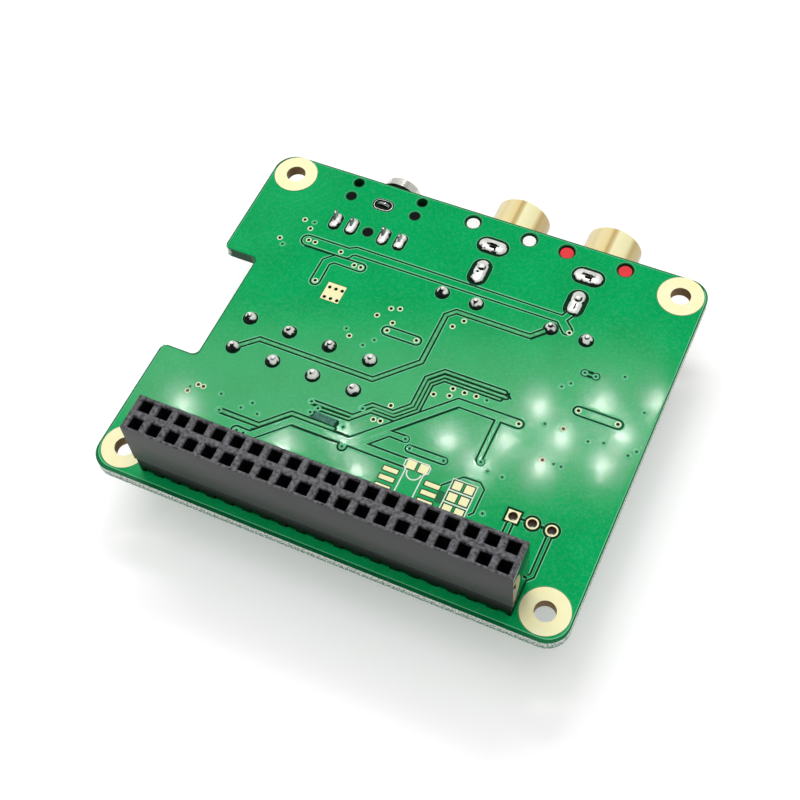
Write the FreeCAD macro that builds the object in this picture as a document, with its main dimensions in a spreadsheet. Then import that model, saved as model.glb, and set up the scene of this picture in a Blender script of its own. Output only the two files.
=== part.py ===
import FreeCAD, Part
import Sketcher
import math
import os
import re

# Audio converter board for a small single-board computer, lying with its solder side up.
# The origin is the centre of the four mounting holes on the solder side, +X runs along the
# stacking socket, +Y points to the edge with the jacks, and +Z points out of the solder side.
# Everything under the board therefore has a negative height.

doc = FreeCAD.newDocument("audio_dac_board")
sheet = doc.addObject("Spreadsheet::Sheet", "Sizes")

SIZES = [
    ("board_length", 65.0, "board along the socket"),
    ("board_width", 56.0, "board from socket edge to jack edge"),
    ("board_thick", 1.6, "laminate thickness"),
    ("board_shift_x", 0.05, "outline centre from hole pattern centre"),
    ("board_shift_y", -0.35, "outline centre from hole pattern centre"),
    ("board_corner", 3.0, "radius of the four board corners"),
    ("notch_depth", 5.2, "cable notch into the left edge"),
    ("notch_length", 17.4, "cable notch along the edge"),
    ("notch_y", 0.1, "notch centre"),
    ("notch_corner", 1.0, "radius of the notch corners"),
    ("plating", 0.05, "copper and gold on faces and in holes"),
    ("hole_spacing_x", 58.0, "mounting holes"),
    ("hole_inset", 3.5, "mounting hole from the two long edges"),
    ("hole_dia", 2.75, "finished mounting hole"),
    ("ring_dia", 6.25, "gold ring round a mounting hole"),
    ("heat_in", 17.82, "heat pad centre from the left edge, under the amplifier"),
    ("heat_y", 7.52, "heat pad centre"),
    ("heat_length", 2.75, "heat pad"),
    ("heat_width", 2.9, "heat pad"),
    ("bare_chip_x", 7.05, "unfitted eight-lead chip, centre"),
    ("bare_chip_y", -14.38, "its first row of pads"),
    ("bare_chip_pitch", 1.27, "its lead pitch"),
    ("bare_chip_span", 5.75, "between its pad columns"),
    ("bare_chip_pad_length", 2.0, "pad across"),
    ("bare_chip_pad_width", 0.6, "pad along"),
    ("bare_jumper_x", 7.15, "unfitted jumper, centre"),
    ("bare_jumper_y", -12.7, "unfitted jumper"),
    ("bare_jumper_span", 1.7, "between its pads"),
    ("bare_jumper_pad", 1.25, "side of its pads"),
    ("bare_resistor_x", 13.66, "unfitted resistors, centre"),
    ("bare_resistor_y", -13.23, "first of them"),
    ("bare_resistor_pitch", 1.72, "between them"),
    ("bare_resistor_span", 1.6, "between the two pads"),
    ("bare_resistor_pad", 1.15, "side of their pads"),
    ("spare_pin_in", 11.75, "first of three spare pin holes, from the right edge"),
    ("spare_pin_y", -14.44, "spare pin holes"),
    ("spare_pin_pad", 1.6, "ring or square round a spare hole"),
    ("spare_pin_dia", 1.2, "finished spare hole"),
    ("pin_pitch", 2.54, "pitch of the socket and spare holes"),
    ("socket_x", 0.17, "stacking socket centre"),
    ("socket_in", 4.15, "stacking socket centre from the front edge"),
    ("socket_columns", 20, "contacts in a row"),
    ("socket_rows", 2, "rows of contacts"),
    ("housing_length", 51.3, "socket housing"),
    ("housing_width", 5.0, "socket housing"),
    ("housing_height", 8.5, "socket housing above the spacer"),
    ("cell_side", 1.5, "square mouth over a contact"),
    ("cell_depth", 6.9, "depth of the mouth"),
    ("spacer_length", 50.7, "spacer strip under the housing"),
    ("spacer_width", 4.6, "spacer strip"),
    ("spacer_height", 2.4, "spacer strip"),
    ("foot_notch_width", 1.3, "notch between the spacer feet"),
    ("foot_notch_depth", 0.6, "into the side of the spacer"),
    ("foot_notch_height", 0.5, "above the board"),
    ("pin_side", 0.64, "square contact tail"),
    ("pin_tail", 1.3, "tail past the component side"),
    ("pin_drill", 1.02, "board hole for a tail"),
    ("pin_clear", 0.06, "round a tail in the plastic"),
    ("fork_half", 0.62, "half width of a contact fork"),
    ("fork_leaf", 0.2, "thickness of a fork leaf"),
    ("fork_root", 0.6, "height of the joined fork root"),
    ("fork_sink", 2.8, "leaf ends below the housing top"),
    ("fit_clear", 0.05, "moulded slots and bores round what they hold"),
    ("phono_left_x", 2.52, "left phono axis"),
    ("phono_right_x", 16.52, "right phono axis"),
    ("phono_axis", 5.75, "phono axis from the component side"),
    ("phono_width", 10.0, "phono body"),
    ("phono_depth", 10.8, "phono body from the component side"),
    ("phono_back_in", 11.35, "phono body back from the jack edge"),
    ("phono_front_in", 0.25, "phono body front from the jack edge"),
    ("phono_corner", 1.6, "rounding of the two far edges"),
    ("phono_peg_pitch", 8.45, "between the two pegs"),
    ("phono_peg_in", 1.78, "pegs from the jack edge"),
    ("phono_peg_dia", 1.85, "peg"),
    ("phono_peg_sink", 0.3, "peg end below the solder side"),
    ("phono_peg_clear", 0.2, "board hole round a peg, radial"),
    ("shell_dia", 8.1, "gold phono shell"),
    ("shell_wall", 0.6, "wall of the shell"),
    ("shell_back_in", 7.35, "shell inside the body, from the jack edge"),
    ("shell_out", 7.25, "shell rim past the jack edge"),
    ("shell_seat_step", 0.15, "shoulder of the shell at the body front"),
    ("rim_bevel", 0.35, "bevel of the shell rim and the ferrule"),
    ("insulator_sink", 0.7, "insulator face below the rim"),
    ("centre_room", 1.25, "insulator between shell and centre contact"),
    ("centre_wall", 0.55, "wall of the centre contact tube"),
    ("centre_sink", 0.4, "tube below the insulator face"),
    ("centre_floor_in", 4.65, "end of the plug hole from the jack edge"),
    ("signal_in", 9.45, "centre contact tail from the jack edge"),
    ("signal_width", 2.2, "tail along Y"),
    ("tab_thick", 0.6, "sheet of the phono tails"),
    ("ground_in", 4.75, "ground tab from the jack edge"),
    ("ground_width", 2.6, "ground tab along X"),
    ("tail_rise", 0.8, "tails above the solder side"),
    ("slot_clear", 0.2, "board slot round a tail"),
    ("jack_in", 17.7, "headphone jack axis from the left edge"),
    ("jack_axis", 2.5, "jack axis from the component side"),
    ("jack_width", 12.2, "jack body"),
    ("jack_depth", 5.0, "jack body from the component side"),
    ("jack_back_in", 10.75, "jack body back from the jack edge"),
    ("jack_front_in", 0.25, "jack body front from the jack edge"),
    ("jack_neck_dia", 4.8, "neck under the board edge"),
    ("collar_dia", 6.3, "collar past the board edge"),
    ("collar_gap", 0.1, "collar from the board edge"),
    ("collar_out", 1.25, "outer face of the collar past the jack edge"),
    ("ferrule_dia", 5.6, "metal nose"),
    ("ferrule_stem", 4.2, "ferrule part inside the collar"),
    ("ferrule_root_in", 1.45, "inner end of the ferrule from the jack edge"),
    ("ferrule_out", 3.05, "outer end of the ferrule past the jack edge"),
    ("plug_dia", 3.6, "plug bore"),
    ("plug_end_in", 9.75, "end of the plug bore from the jack edge"),
    ("jack_peg_dia", 1.3, "jack peg"),
    ("jack_peg_clear", 0.08, "board hole round a peg, radial"),
    ("jack_peg_span", 9.96, "between the front pegs"),
    ("jack_peg_in", 3.85, "front pegs from the jack edge"),
    ("jack_spare_in", 1.25, "two unused peg holes from the jack edge"),
    ("jack_pin_in", 8.89, "row of pins and the rear peg from the jack edge"),
    ("jack_pin_inner", 4.96, "between the inner pins"),
    ("jack_pin_outer", 10.0, "between the outer pins"),
    ("jack_pin_thick", 0.4, "pin across"),
    ("jack_pin_width", 1.3, "pin along Y"),
    ("jack_pin_root", 3.2, "pin inside the body"),
    ("sleeve_in", 3.7, "sleeve tail from the jack edge"),
    ("sleeve_width", 1.8, "sleeve tail along X"),
    ("sleeve_thick", 0.5, "sleeve tail along Y"),
    ("lead_pitch", 5.0, "film capacitor leads"),
    ("lead_dia", 0.6, "film capacitor lead"),
    ("lead_rise", 1.05, "clipped lead above the solder side"),
    ("lead_clear", 0.15, "board hole round a lead, radial"),
    ("film_row_in", 9.21, "first film capacitor of the row from the left edge"),
    ("film_row_y", -3.05, "film capacitor row"),
    ("film_row_pitch", 5.98, "between film capacitors"),
    ("film_length", 7.2, "film capacitor case"),
    ("film_width", 5.4, "film capacitor case"),
    ("film_height", 10.6, "film capacitor case"),
    ("film_bevel", 0.4, "bevel of a film capacitor case"),
    ("film_out_in", 14.55, "two output film capacitors from the jack edge"),
    ("film_out_left_x", 1.7, "left output film capacitor"),
    ("film_out_right_x", 17.4, "right output film capacitor"),
    ("film_out_width", 4.5, "output film capacitor case"),
    ("film_out_height", 9.5, "output film capacitor case"),
    ("joint_dia", 2.0, "solder joint foot"),
    ("joint_top", 0.9, "solder joint at the lead"),
    ("joint_height", 0.75, "solder joint"),
    ("oval_height", 0.45, "solder on the jack tails"),
    ("ground_oval_length", 4.1, "solder on a ground tab"),
    ("signal_oval_length", 4.1, "solder on a signal tail"),
    ("phono_oval_width", 2.3, "solder on phono tails"),
    ("jack_oval_length", 2.6, "solder on a jack pin"),
    ("jack_oval_width", 1.4, "solder on a jack pin"),
    ("chip_x", 8.0, "converter chip centre"),
    ("chip_in", 23.15, "converter chip centre from the jack edge"),
    ("chip_length", 9.7, "converter body"),
    ("chip_width", 4.4, "converter body"),
    ("chip_height", 1.0, "converter body"),
    ("chip_standoff", 0.1, "bodies above their leads' feet"),
    ("chip_pitch", 0.65, "converter leads"),
    ("chip_lead_count", 14, "leads on a side"),
    ("chip_lead_width", 0.22, "converter lead"),
    ("chip_lead_thick", 0.12, "converter lead"),
    ("chip_lead_foot", 0.6, "foot on the board"),
    ("chip_lead_reach", 1.0, "lead from the body side"),
    ("amp_side", 4.0, "amplifier body"),
    ("amp_land_gap", 0.2, "amplifier middle pad short of the heat pad"),
    ("amp_height", 0.85, "amplifier body"),
    ("amp_pitch", 0.5, "amplifier pads"),
    ("amp_pad_width", 0.25, "amplifier pad"),
    ("amp_pad_length", 0.5, "amplifier pad"),
    ("regulator_in", 10.95, "first regulator from the right edge"),
    ("regulator_y", -4.6, "regulators"),
    ("regulator_pitch", 5.8, "between regulators"),
    ("regulator_length", 2.9, "regulator body"),
    ("regulator_width", 1.6, "regulator body"),
    ("regulator_height", 1.1, "regulator body"),
    ("regulator_lead_pitch", 0.95, "regulator leads"),
    ("regulator_lead_width", 0.4, "regulator lead"),
    ("regulator_lead_span", 2.8, "over the lead ends"),
    ("regulator_lead_gap", 1.0, "between the inner lead ends"),
    ("passive_length", 1.6, "chip capacitor or resistor"),
    ("passive_width", 0.8, "chip capacitor or resistor"),
    ("ceramic_height", 0.8, "chip capacitor"),
    ("resistor_height", 0.45, "chip resistor"),
    ("ceramic_chip_x", 4.1, "capacitors beside the converter"),
    ("ceramic_chip_in", 18.25, "capacitors beside the converter from the jack edge"),
    ("ceramic_amp_in", 13.25, "capacitors beside the amplifier from the left edge"),
    ("ceramic_amp_y", 5.0, "capacitors beside the amplifier"),
    ("ceramic_power_in", 12.95, "capacitors by the regulators from the right edge"),
    ("ceramic_power_y", -0.6, "capacitors by the regulators"),
    ("resistor_chip_x", 4.1, "resistors beside the converter"),
    ("resistor_chip_in", 29.25, "resistors beside the converter from the jack edge"),
    ("resistor_amp_in", 22.45, "resistors beside the amplifier from the left edge"),
    ("resistor_amp_y", 5.0, "resistors beside the amplifier"),
    ("resistor_bus_in", 12.45, "resistors by the socket from the left edge"),
    ("resistor_bus_y", -13.0, "resistors by the socket"),
    ("passive_pitch", 2.6, "between neighbouring passives"),
]

NAMES = set()
for row, (alias, number, note) in enumerate(SIZES, start=1):
    sheet.set(f"A{row}", alias)
    sheet.set(f"B{row}", str(number))
    sheet.setAlias(f"B{row}", alias)
    sheet.set(f"C{row}", note)
    NAMES.add(alias)
doc.recompute()


def formula(text):
    """The same formula with each size name pointed at its cell."""
    return re.sub(r"[a-z_]+", lambda word: "Sizes." + word.group(0) if word.group(0) in NAMES
                  else word.group(0), text)


def bind(item, prop, text):
    item.setExpression(prop, formula(text))


def place(item, x, y, z, turn=None):
    if turn:
        item.Placement = FreeCAD.Placement(FreeCAD.Vector(), turn)
    bind(item, "Placement.Base.x", x)
    bind(item, "Placement.Base.y", y)
    bind(item, "Placement.Base.z", z)


TO_BACK = FreeCAD.Rotation(FreeCAD.Vector(1, 0, 0), -90)


def block(name, x, y, z, across, along, tall):
    """A box about (x, y) in plan that stands on height z."""
    solid = doc.addObject("Part::Box", name)
    bind(solid, "Length", across)
    bind(solid, "Width", along)
    bind(solid, "Height", tall)
    place(solid, f"{x} - ({across}) / 2", f"{y} - ({along}) / 2", z)
    return solid


def post(name, x, y, z, dia, tall):
    """An upright cylinder that stands on height z."""
    solid = doc.addObject("Part::Cylinder", name)
    bind(solid, "Radius", f"({dia}) / 2")
    bind(solid, "Height", tall)
    place(solid, x, y, z)
    return solid


def barrel(name, x, z, dia, start_y, end_y):
    """A lying cylinder from one Y to another."""
    solid = doc.addObject("Part::Cylinder", name)
    bind(solid, "Radius", f"({dia}) / 2")
    bind(solid, "Height", f"({end_y}) - ({start_y})")
    place(solid, x, start_y, z, TO_BACK)
    return solid


def fused(name, pieces):
    solid = doc.addObject("Part::MultiFuse", name)
    solid.Shapes = pieces
    solid.Refine = True
    return solid


def cut(name, base, tools):
    solid = doc.addObject("Part::Cut", name)
    solid.Base = base
    solid.Tool = tools[0] if len(tools) == 1 else fused(name + "_tools", tools)
    return solid


def group(name, pieces):
    solid = doc.addObject("Part::Compound", name)
    solid.Links = pieces
    return solid


def oval(name, x, y, z, length, width, tall, lies):
    """A round-ended pad that lies along X or along Y."""
    step = f"(({length}) - ({width})) / 2"
    ends = []
    for side, sign in (("a", "-"), ("b", "+")):
        if lies == "x":
            ends.append(post(f"{name}_{side}", f"{x} {sign} {step}", y, z, width, tall))
        else:
            ends.append(post(f"{name}_{side}", x, f"{y} {sign} {step}", z, width, tall))
    if lies == "x":
        middle = block(f"{name}_middle", x, y, z, f"({length}) - ({width})", width, tall)
    else:
        middle = block(f"{name}_middle", x, y, z, width, f"({length}) - ({width})", tall)
    return fused(name, ends + [middle])


def new_body(name, x="0", y="0", z="0"):
    body = doc.addObject("PartDesign::Body", name)
    body.AllowCompound = True
    place(body, x, y, z)
    return body


def new_sketch(body, name, plane="XY_Plane", height="0"):
    """A sketch on one of the body's own planes, moved along that plane's normal."""
    sketch = body.newObject("Sketcher::SketchObject", name)
    for feature in body.Origin.OriginFeatures:
        if feature.Role == plane:
            sketch.AttachmentSupport = [(feature, "")]
    sketch.MapMode = "FlatFace"
    bind(sketch, "AttachmentOffset.Base.z", height)
    return sketch


def fix_point(sketch, curve, point, x, y):
    """Holds a point of a curve at a place given by two formulas."""
    for kind, text, axis in (("DistanceX", x, -2), ("DistanceY", y, -1)):
        if text == "0":
            sketch.addConstraint(Sketcher.Constraint("PointOnObject", curve, point, axis))
            continue
        number = sketch.addConstraint(Sketcher.Constraint(kind, -1, 1, curve, point, 1.0))
        bind(sketch, f"Constraints[{number}]", text)


def draw_outline(sketch, corners):
    """A closed outline through corners given as pairs of formulas."""
    first = sketch.GeometryCount
    count = len(corners)
    spots = []
    for step in range(count):
        angle = 2 * math.pi * step / count
        spots.append(FreeCAD.Vector(10 * math.cos(angle), 10 * math.sin(angle), 0))
    for step in range(count):
        sketch.addGeometry(Part.LineSegment(spots[step], spots[(step + 1) % count]), False)
    for step in range(count):
        follower = first + (step + 1) % count
        sketch.addConstraint(Sketcher.Constraint("Coincident", first + step, 2, follower, 1))
    for step, (x, y) in enumerate(corners):
        fix_point(sketch, first + step, 1, x, y)


def draw_rectangle(sketch, x, y, across, along):
    left, right = f"{x} - ({across}) / 2", f"{x} + ({across}) / 2"
    low, high = f"{y} - ({along}) / 2", f"{y} + ({along}) / 2"
    draw_outline(sketch, [(left, low), (right, low), (right, high), (left, high)])


def draw_circle(sketch, x, y, dia):
    curve = sketch.addGeometry(Part.Circle(FreeCAD.Vector(1, 1, 0), FreeCAD.Vector(0, 0, 1), 1.0), False)
    fix_point(sketch, curve, 3, x, y)
    number = sketch.addConstraint(Sketcher.Constraint("Diameter", curve, 2.0))
    bind(sketch, f"Constraints[{number}]", dia)


def pad(body, name, sketch, length, reverse=False, both_ways=False):
    feature = body.newObject("PartDesign::Pad", name)
    feature.Profile = sketch
    bind(feature, "Length", length)
    feature.Reversed = reverse
    feature.Midplane = both_ways
    body.Tip = feature
    return feature


def pocket(body, name, sketch, depth=None, reverse=False):
    """A cut against the sketch normal, through everything unless a depth is given."""
    feature = body.newObject("PartDesign::Pocket", name)
    feature.Profile = sketch
    if depth:
        bind(feature, "Length", depth)
    else:
        feature.Type = "ThroughAll"
    feature.Reversed = reverse
    body.Tip = feature
    return feature


def round_edges(body, name, base, names, radius):
    feature = body.newObject("PartDesign::Fillet", name)
    feature.Base = (base, names)
    bind(feature, "Radius", radius)
    body.Tip = feature
    return feature


def turned(name, x, z, profile):
    """A piece turned about a line along Y, from a profile of (radius, y) pairs."""
    body = new_body(name, x, "0", z)
    sketch = new_sketch(body, f"{name}_profile")
    draw_outline(sketch, profile)
    feature = body.newObject("PartDesign::Revolution", f"{name}_turning")
    feature.Profile = sketch
    feature.ReferenceAxis = (sketch, ["V_Axis"])
    feature.Angle = 360
    body.Tip = feature
    return body


def axis_of(body, role):
    return [feature for feature in body.Origin.OriginFeatures if feature.Role == role][0]


def repeat(body, name, originals, runs):
    """Repeats features along X and Y: each run is an axis, a whole length and a count."""
    steps = []
    for axis, length, count in runs:
        step = body.newObject("PartDesign::LinearPattern", f"{name}_{axis[0]}")
        step.Direction = (axis_of(body, axis), [""])
        bind(step, "Length", length)
        bind(step, "Occurrences", count)
        steps.append(step)
    grid = body.newObject("PartDesign::MultiTransform", name)
    grid.Originals = originals
    grid.Transformations = steps
    body.Tip = grid
    return grid


def edges_near(feature, direction, spots):
    """Names of the straight edges along a direction that pass through the given points."""
    names = []
    for number, edge in enumerate(feature.Shape.Edges, start=1):
        start, end = edge.Vertexes[0].Point, edge.Vertexes[-1].Point
        run = end - start
        if run.Length < 1e-6 or run.cross(direction).Length > 1e-6 * run.Length:
            continue
        for spot in spots:
            if (spot - start).cross(direction).Length < 1e-4:
                names.append(f"Edge{number}")
    return names


def at(alias):
    return float(sheet.get(alias))


NODES = []


def node(item):
    NODES.append(item)
    return item


UP = FreeCAD.Vector(0, 0, 1)
BACK = FreeCAD.Vector(0, 1, 0)
LEFT_EDGE = "board_shift_x - board_length / 2"
RIGHT_EDGE = "board_shift_x + board_length / 2"
FRONT_EDGE = "board_shift_y - board_width / 2"
JACK_EDGE = "board_shift_y + board_width / 2"
UNDER = "-board_thick"
HOLE_SPACING_Y = "(board_width - 2 * hole_inset)"


def from_left(size):
    return f"({LEFT_EDGE} + {size})"


def from_right(size):
    return f"({RIGHT_EDGE} - {size})"


def behind(size):
    """A place in from the jack edge."""
    return f"({JACK_EDGE} - {size})"


def past(size):
    """A place out past the jack edge."""
    return f"({JACK_EDGE} + {size})"


SOCKET_Y = f"({FRONT_EDGE} + socket_in)"
HEAT_X = from_left("heat_in")
SPARE_X = from_right("spare_pin_in")
PHONO_X = {"left": "phono_left_x", "right": "phono_right_x"}
PHONO_Z = "-board_thick - phono_axis"
PHONO_BACK, PHONO_FRONT = behind("phono_back_in"), behind("phono_front_in")
PHONO_PEG_Y, SIGNAL_Y, GROUND_Y = behind("phono_peg_in"), behind("signal_in"), behind("ground_in")
SHELL_BORE = "(shell_dia - 2 * shell_wall)"
SHELL_SEAT = "(shell_dia - 2 * shell_seat_step)"
CENTRE_DIA = "(shell_dia - 2 * shell_wall - 2 * centre_room)"
CENTRE_BORE = "(shell_dia - 2 * shell_wall - 2 * centre_room - 2 * centre_wall)"
JACK_X, JACK_Z = from_left("jack_in"), "-board_thick - jack_axis"
JACK_BACK, JACK_FRONT = behind("jack_back_in"), behind("jack_front_in")
JACK_PEG_Y, JACK_SPARE_Y = behind("jack_peg_in"), behind("jack_spare_in")
JACK_PIN_Y, SLEEVE_Y, PLUG_END = behind("jack_pin_in"), behind("sleeve_in"), behind("plug_end_in")
COLLAR_END = past("collar_out")
FERRULE_ROOT, FERRULE_END = behind("ferrule_root_in"), past("ferrule_out")
JACK_PINS = [f"{JACK_X} - jack_pin_outer / 2", f"{JACK_X} - jack_pin_inner / 2",
             f"{JACK_X} + jack_pin_inner / 2", f"{JACK_X} + jack_pin_outer / 2"]
FILM_ROW = [f"{LEFT_EDGE} + film_row_in + {number} * film_row_pitch" for number in range(4)]
FILM_OUT = ["film_out_left_x", "film_out_right_x"]
FILM_OUT_Y = behind("film_out_in")
LEADS = [(x, f"film_row_y {sign} lead_pitch / 2") for x in FILM_ROW for sign in "-+"]
LEADS += [(f"{x} {sign} lead_pitch / 2", FILM_OUT_Y) for x in FILM_OUT for sign in "-+"]

# Circuit board: one routed laminate, drilled for the screws, the socket tails, the leads of
# the film capacitors and the pegs and tails of the three jacks.
board = node(new_body("circuit_board"))
outline = new_sketch(board, "BoardOutline")
draw_rectangle(outline, "board_shift_x", "board_shift_y", "board_length", "board_width")
slab = pad(board, "BoardSlab", outline, "board_thick", reverse=True)
mouth = new_sketch(board, "NotchOutline")
draw_rectangle(mouth, f"{LEFT_EDGE} + notch_depth / 2", "notch_y", "notch_depth", "notch_length")
notch = pocket(board, "CableNotch", mouth)
doc.recompute()

left = at("board_shift_x") - at("board_length") / 2
right = left + at("board_length")
front = at("board_shift_y") - at("board_width") / 2
back = front + at("board_width")
low = at("notch_y") - at("notch_length") / 2
high = low + at("notch_length")
inner = left + at("notch_depth")
corner_spots = [FreeCAD.Vector(x, y, 0) for x in (left, right) for y in (front, back)]
notch_spots = [FreeCAD.Vector(x, y, 0) for x in (left, inner) for y in (low, high)]
corners = round_edges(board, "BoardCorners", notch, edges_near(notch, UP, corner_spots), "board_corner")
doc.recompute()
round_edges(board, "NotchCorners", corners, edges_near(corners, UP, notch_spots), "notch_corner")

screw_holes = new_sketch(board, "ScrewHoles")
for x in ("-hole_spacing_x / 2", "hole_spacing_x / 2"):
    for y in (f"-{HOLE_SPACING_Y} / 2", f"{HOLE_SPACING_Y} / 2"):
        draw_circle(screw_holes, x, y, "hole_dia + 2 * plating")
pocket(board, "ScrewDrilling", screw_holes)

lead_holes = new_sketch(board, "LeadHoles")
for x, y in LEADS:
    draw_circle(lead_holes, x, y, "lead_dia + 2 * lead_clear")
pocket(board, "LeadDrilling", lead_holes)

spare_holes = new_sketch(board, "SpareHoles")
for number in range(3):
    draw_circle(spare_holes, f"{SPARE_X} + {number} * pin_pitch", "spare_pin_y",
                "spare_pin_dia + 2 * plating")
pocket(board, "SpareDrilling", spare_holes)

phono_holes = new_sketch(board, "PhonoHoles")
for x in PHONO_X.values():
    for sign in "-+":
        draw_circle(phono_holes, f"{x} {sign} phono_peg_pitch / 2", PHONO_PEG_Y,
                    "phono_peg_dia + 2 * phono_peg_clear")
    draw_rectangle(phono_holes, x, GROUND_Y, "ground_width + 2 * slot_clear",
                   "tab_thick + 2 * slot_clear")
    draw_rectangle(phono_holes, x, SIGNAL_Y, "tab_thick + 2 * slot_clear",
                   "signal_width + 2 * slot_clear")
pocket(board, "PhonoDrilling", phono_holes)

jack_holes = new_sketch(board, "JackHoles")
for sign in "-+":
    for y in (JACK_PEG_Y, JACK_SPARE_Y):
        draw_circle(jack_holes, f"{JACK_X} {sign} jack_peg_span / 2", y,
                    "jack_peg_dia + 2 * jack_peg_clear")
draw_circle(jack_holes, JACK_X, JACK_PIN_Y, "jack_peg_dia + 2 * jack_peg_clear")
draw_rectangle(jack_holes, JACK_X, SLEEVE_Y, "sleeve_width + 2 * slot_clear",
               "sleeve_thick + 2 * slot_clear")
for x in JACK_PINS:
    draw_rectangle(jack_holes, x, JACK_PIN_Y, "jack_pin_thick + 2 * slot_clear",
                   "jack_pin_width + 2 * slot_clear")
pocket(board, "JackDrilling", jack_holes)

FIRST_X = "-(socket_columns - 1) / 2 * pin_pitch"
FIRST_Y = "-(socket_rows - 1) / 2 * pin_pitch"
GRID = [("X_Axis", "(socket_columns - 1) * pin_pitch", "socket_columns"),
        ("Y_Axis", "(socket_rows - 1) * pin_pitch", "socket_rows")]
tail_hole = new_sketch(board, "TailHole")
draw_circle(tail_hole, f"socket_x {FIRST_X}", f"{SOCKET_Y} {FIRST_Y}", "pin_drill")
tail_drilling = pocket(board, "TailDrilling", tail_hole)
repeat(board, "TailGrid", [tail_drilling], GRID)

# Gold rings: each is plated on both faces and through its screw hole, like a rivet.
rings = node(new_body("mounting_rings", "-hole_spacing_x / 2", f"-{HOLE_SPACING_Y} / 2"))
ring_profile = new_sketch(rings, "RingProfile", "XZ_Plane")
draw_outline(ring_profile, [
    ("hole_dia / 2", "-board_thick - plating"),
    ("ring_dia / 2", "-board_thick - plating"),
    ("ring_dia / 2", "-board_thick"),
    ("hole_dia / 2 + plating", "-board_thick"),
    ("hole_dia / 2 + plating", "0"),
    ("ring_dia / 2", "0"),
    ("ring_dia / 2", "plating"),
    ("hole_dia / 2", "plating"),
])
ring = rings.newObject("PartDesign::Revolution", "Ring")
ring.Profile = ring_profile
ring.ReferenceAxis = (ring_profile, ["V_Axis"])
ring.Angle = 360
repeat(rings, "RingPattern", [ring], [("X_Axis", "hole_spacing_x", "2"), ("Y_Axis", HOLE_SPACING_Y, "2")])

# Gold left bare on the solder side: the heat pad, the lands of parts that are not fitted, and
# the three spare pin holes, the first of which is marked by a square land.
node(block("heat_pad", HEAT_X, "heat_y", "0", "heat_length", "heat_width", "plating"))

lands = []
for row in range(4):
    for side, sign in (("left", "-"), ("right", "+")):
        lands.append(block(f"chip_land_{side}_{row}", f"bare_chip_x {sign} bare_chip_span / 2",
                           f"bare_chip_y - {row} * bare_chip_pitch", "0",
                           "bare_chip_pad_length", "bare_chip_pad_width", "plating"))
for side, sign in (("left", "-"), ("right", "+")):
    lands.append(block(f"jumper_land_{side}", f"bare_jumper_x {sign} bare_jumper_span / 2",
                       "bare_jumper_y", "0", "bare_jumper_pad", "bare_jumper_pad", "plating"))
    for row in range(3):
        lands.append(block(f"resistor_land_{side}_{row}", f"bare_resistor_x {sign} bare_resistor_span / 2",
                           f"bare_resistor_y - {row} * bare_resistor_pitch", "0",
                           "bare_resistor_pad", "bare_resistor_pad", "plating"))
node(group("bare_lands", lands))

spare_rings = []
for number in range(3):
    x = f"{SPARE_X} + {number} * pin_pitch"
    flanges = []
    for side, height in (("top", "0"), ("under", "-board_thick - plating")):
        name = f"spare_{side}_{number}"
        if number == 0:
            flanges.append(block(name, x, "spare_pin_y", height, "spare_pin_pad", "spare_pin_pad", "plating"))
        else:
            flanges.append(post(name, x, "spare_pin_y", height, "spare_pin_pad", "plating"))
    wall = post(f"spare_wall_{number}", x, "spare_pin_y", UNDER, "spare_pin_dia + 2 * plating", "board_thick")
    spool = fused(f"spare_spool_{number}", flanges + [wall])
    bore = post(f"spare_bore_{number}", x, "spare_pin_y", "-board_thick - 2 * plating", "spare_pin_dia",
                "board_thick + 4 * plating")
    spare_rings.append(cut(f"spare_ring_{number}", spool, [bore]))
node(group("spare_pin_rings", spare_rings))

# Stacking socket: a tall moulded housing on a spacer strip, with forked contacts whose square
# tails run down through the strip and the board.
housing = node(new_body("socket_housing", "socket_x", SOCKET_Y, "spacer_height"))
housing_plan = new_sketch(housing, "HousingPlan")
draw_rectangle(housing_plan, "0", "0", "housing_length", "housing_width")
pad(housing, "HousingBlock", housing_plan, "housing_height")
cell_plan = new_sketch(housing, "CellPlan", height="housing_height")
draw_rectangle(cell_plan, FIRST_X, FIRST_Y, "cell_side", "cell_side")
cell = pocket(housing, "Cell", cell_plan, "cell_depth")
throat_plan = new_sketch(housing, "ThroatPlan", height="housing_height")
draw_rectangle(throat_plan, FIRST_X, FIRST_Y, "pin_side + 2 * pin_clear", "pin_side + 2 * pin_clear")
throat = pocket(housing, "Throat", throat_plan)
repeat(housing, "CellGrid", [cell, throat], GRID)

spacer = node(new_body("socket_spacer", "socket_x", SOCKET_Y))
spacer_plan = new_sketch(spacer, "SpacerPlan")
draw_rectangle(spacer_plan, "0", "0", "spacer_length", "spacer_width")
pad(spacer, "SpacerStrip", spacer_plan, "spacer_height")
guide_plan = new_sketch(spacer, "GuidePlan", height="spacer_height")
draw_rectangle(guide_plan, FIRST_X, FIRST_Y, "pin_side + 2 * pin_clear", "pin_side + 2 * pin_clear")
guide = pocket(spacer, "Guide", guide_plan)
repeat(spacer, "GuideGrid", [guide], GRID)
foot_plan = new_sketch(spacer, "FootPlan")
for sign in "-+":
    draw_rectangle(foot_plan, FIRST_X, f"0 {sign} (spacer_width - foot_notch_depth) / 2",
                   "foot_notch_width", "foot_notch_depth")
foot = pocket(spacer, "FootNotch", foot_plan, "foot_notch_height", reverse=True)
repeat(spacer, "FootRow", [foot], [GRID[0]])

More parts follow.
